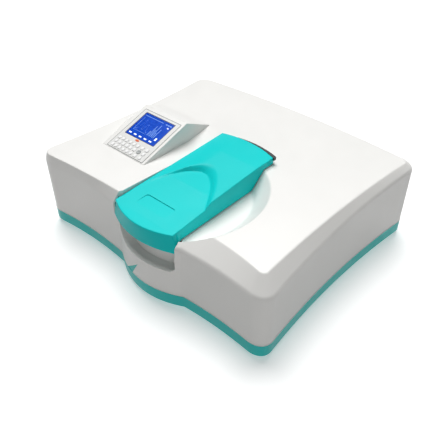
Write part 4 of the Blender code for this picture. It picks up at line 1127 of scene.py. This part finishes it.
def screen_contents():
    """A generic scan on the display: header, tabs, axes, curve, grid, bars, soft keys and two marks."""
    left, low = DISPLAY_LOW[0] + SCREEN_MARGIN, DISPLAY_LOW[1] + SCREEN_MARGIN
    right, high = DISPLAY_HIGH[0] - SCREEN_MARGIN, DISPLAY_HIGH[1] - SCREEN_MARGIN
    start, end = (left, high - 3.2 * MM), (right - 20 * MM, high - 2.4 * MM)
    screen_rectangle("screen_header", "screen_pale", start, end)
    for index in range(3):
        x = right - 14 * MM + index * 5 * MM
        start, end = (x, high - 4 * MM), (x + 3.6 * MM, high - 2 * MM)
        screen_rectangle(f"screen_tab_{index + 1}", "screen_pale", start, end)
    graph_left, graph_right = left + 3 * MM, left + 34 * MM
    graph_low, graph_high = low + 11 * MM, high - 7 * MM
    width, height = graph_right - graph_left, graph_high - graph_low
    origin = (graph_left, graph_low)
    screen_rectangle("screen_axis_y", "screen_pale", origin, (graph_left + AXIS_WIDTH, graph_high))
    screen_rectangle("screen_axis_x", "screen_pale", origin, (graph_right, graph_low + AXIS_WIDTH))
    line = []
    for i in range(SCAN_STEPS + 1):
        share = i / SCAN_STEPS
        line.append((graph_left + width * share, graph_low + height * scan_height(share)))
    screen_strip("screen_curve", "screen_pale", line, CURVE_WIDTH)
    for index in range(4):
        y = graph_low + (index + 1) * height / 5
        start, end = (graph_left + MM, y), (graph_right, y + GRID_WIDTH)
        screen_rectangle(f"screen_grid_{index + 1}", "screen_dim", start, end)
    for index, share in enumerate(SCAN_BARS):
        x = graph_right + 3 * MM + index * 3.1 * MM
        end = (x + 1.1 * MM, graph_low + height * share)
        screen_rectangle(f"screen_bar_{index + 1}", "screen_pale", (x, graph_low), end)
    for index in range(5):
        x = left + 1.5 * MM + index * 12.5 * MM
        start, end = (x, low + 1.5 * MM), (x + 6 * MM, low + 4 * MM)
        screen_rectangle(f"screen_soft_key_{index + 1}", "screen_white", start, end)
    start, end = (right - 7 * MM, low + 8 * MM), (right - 3.5 * MM, low + 14 * MM)
    screen_rectangle("screen_reading", "screen_white", start, end)
    start, end = (right - 5.5 * MM, high - 10 * MM), (right - 2.5 * MM, high - 8 * MM)
    screen_rectangle("screen_flag", "screen_white", start, end)


def indicator_mark():
    """The small orange badge between the display and the keys, left blank."""
    points = [Vector(INDICATOR) + place for place in ellipse(*INDICATOR_RADII, INDICATOR_SIDES)]
    flat_piece("indicator_badge", "indicator_orange", points, FILM_TOP, height=0.4 * MM, taper=0.15 * MM)


def keys():
    """Rounded key caps over the CAD keys."""
    for row, up in enumerate(KEY_ROWS):
        for column, across in enumerate(KEY_COLUMNS):
            if (column, row) == ROUND_KEY:
                round_key(across, up)
                continue
            name = f"key_row{row + 1}_column{column + 1}"
            shape = bmesh.new()
            bmesh.ops.create_cube(shape, size=1)
            bmesh.ops.scale(shape, vec=(*KEY_SIZE, KEY_DEPTH), verts=shape.verts)
            upright = [e for e in shape.edges if abs(e.verts[0].co.z - e.verts[1].co.z) > MM]
            bmesh.ops.bevel(shape, geom=upright, offset=KEY_CORNER, segments=4, profile=0.5, affect="EDGES")
            rim = [e for e in shape.edges if min(v.co.z for v in e.verts) > KEY_DEPTH * 0.49]
            bmesh.ops.bevel(shape, geom=rim, offset=KEY_EDGE, segments=3, profile=0.5, affect="EDGES")
            place = console_matrix(across, up, KEY_STANDS - KEY_DEPTH / 2)
            bmesh.ops.transform(shape, matrix=place, verts=shape.verts)
            cap = add_piece(name + "_cap", shape, "key_rubber", name)
            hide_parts(name)


def round_key(across, up):
    """The round grey key, with a dished top."""
    shape = bmesh.new()
    rings = []
    for radius, height in ROUND_KEY_PROFILE:
        circle = ellipse(radius * MM, radius * MM, ROUND_KEY_SIDES)
        rings.append([shape.verts.new((*place, KEY_STANDS + height * MM)) for place in circle])
    bridge(shape, rings, ends=True)
    bmesh.ops.transform(shape, matrix=console_matrix(across, up), verts=shape.verts)
    cap = add_piece("key_select_cap", shape, "grey_key", "key_select")
    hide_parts("key_select")


def carried_over():
    """A finished material for every CAD node that stays."""
    for entry in frame["record"]["subparts"]:
        node = frame["nodes"].get(entry["node"])
        if node is None:
            continue
        for slot in node.material_slots:
            slot.material = MATERIALS[entry["material_slot"]]


# ---- stage ----

def aimed(azimuth, elevation):
    """The turn of a camera or a light that looks in from this azimuth and elevation."""
    return Matrix.Rotation(azimuth, 4, "Z") @ Matrix.Rotation(math.pi / 2 - elevation, 4, "X")


def camera():
    data = bpy.data.cameras.new("camera")
    data.lens = CAMERA_LENS
    made = new_object("camera", data)
    aim = aimed(CAMERA_AZIMUTH, CAMERA_ELEVATION)
    made.matrix_world = Matrix.Translation(CAMERA_PLACE) @ aim @ Matrix.Rotation(CAMERA_ROLL, 4, "Z")
    bpy.context.scene.camera = made


def floor():
    """White paper that glows a little, and neither lights nor shades the object."""
    shape = bmesh.new()
    bmesh.ops.create_grid(shape, x_segments=1, y_segments=1, size=FLOOR_HALF)
    made = mesh_object("floor", shape)
    material, _, shader = new_material("floor_paper", FLOOR_COLOUR, roughness=0.9)
    shader.inputs["Specular IOR Level"].default_value = 0.0
    shader.inputs["Emission Color"].default_value = (1, 1, 1, 1)
    shader.inputs["Emission Strength"].default_value = FLOOR_GLOW
    made.data.materials.append(material)
    made.visible_diffuse = False
    made.visible_shadow = False


def broad_sun(name, azimuth, elevation, width, strength):
    """A wide, even source far away, with its angles in degrees."""
    data = bpy.data.lights.new(name, "SUN")
    data.angle = math.radians(width)
    data.energy = strength
    made = new_object(name, data)
    made.matrix_world = aimed(math.radians(azimuth), math.radians(elevation))


def light():
    """Two suns and a sky that's brighter below, which the camera itself sees as white."""
    world = bpy.data.worlds.new("studio")
    bpy.context.scene.world = world
    world.use_nodes = True
    tree = world.node_tree
    background = tree.nodes["Background"]
    direction = tree.nodes.new("ShaderNodeTexCoord").outputs["Generated"]
    parts = tree.nodes.new("ShaderNodeSeparateXYZ")
    tree.links.new(direction, parts.inputs["Vector"])
    blend = tree.nodes.new("ShaderNodeMapRange")
    tree.links.new(parts.outputs["Z"], blend.inputs["Value"])
    limits = {"From Min": -SKY_BLEND, "From Max": SKY_BLEND, "To Min": SKY_BELOW, "To Max": SKY_ABOVE}
    for name, value in limits.items():
        blend.inputs[name].default_value = value
    seen = tree.nodes.new("ShaderNodeLightPath").outputs["Is Camera Ray"]
    brighter = tree.nodes.new("ShaderNodeMath")
    brighter.operation = "MAXIMUM"
    tree.links.new(blend.outputs["Result"], brighter.inputs[0])
    tree.links.new(seen, brighter.inputs[1])
    tree.links.new(brighter.outputs["Value"], background.inputs["Strength"])
    background.inputs["Color"].default_value = (1, 1, 1, 1)
    broad_sun("overhead", *SUN)
    broad_sun("fill", *FILL)
    bpy.context.scene.view_settings.view_transform = "Standard"


camera()
carried_over()
top_case()
base_tray()
notch_tab()
sample_lid()
# The black strip of painted shade behind the lid's rear edge
rear_shade_strip()
keys()
console_outlines()
screen_contents()
indicator_mark()
floor()
light()
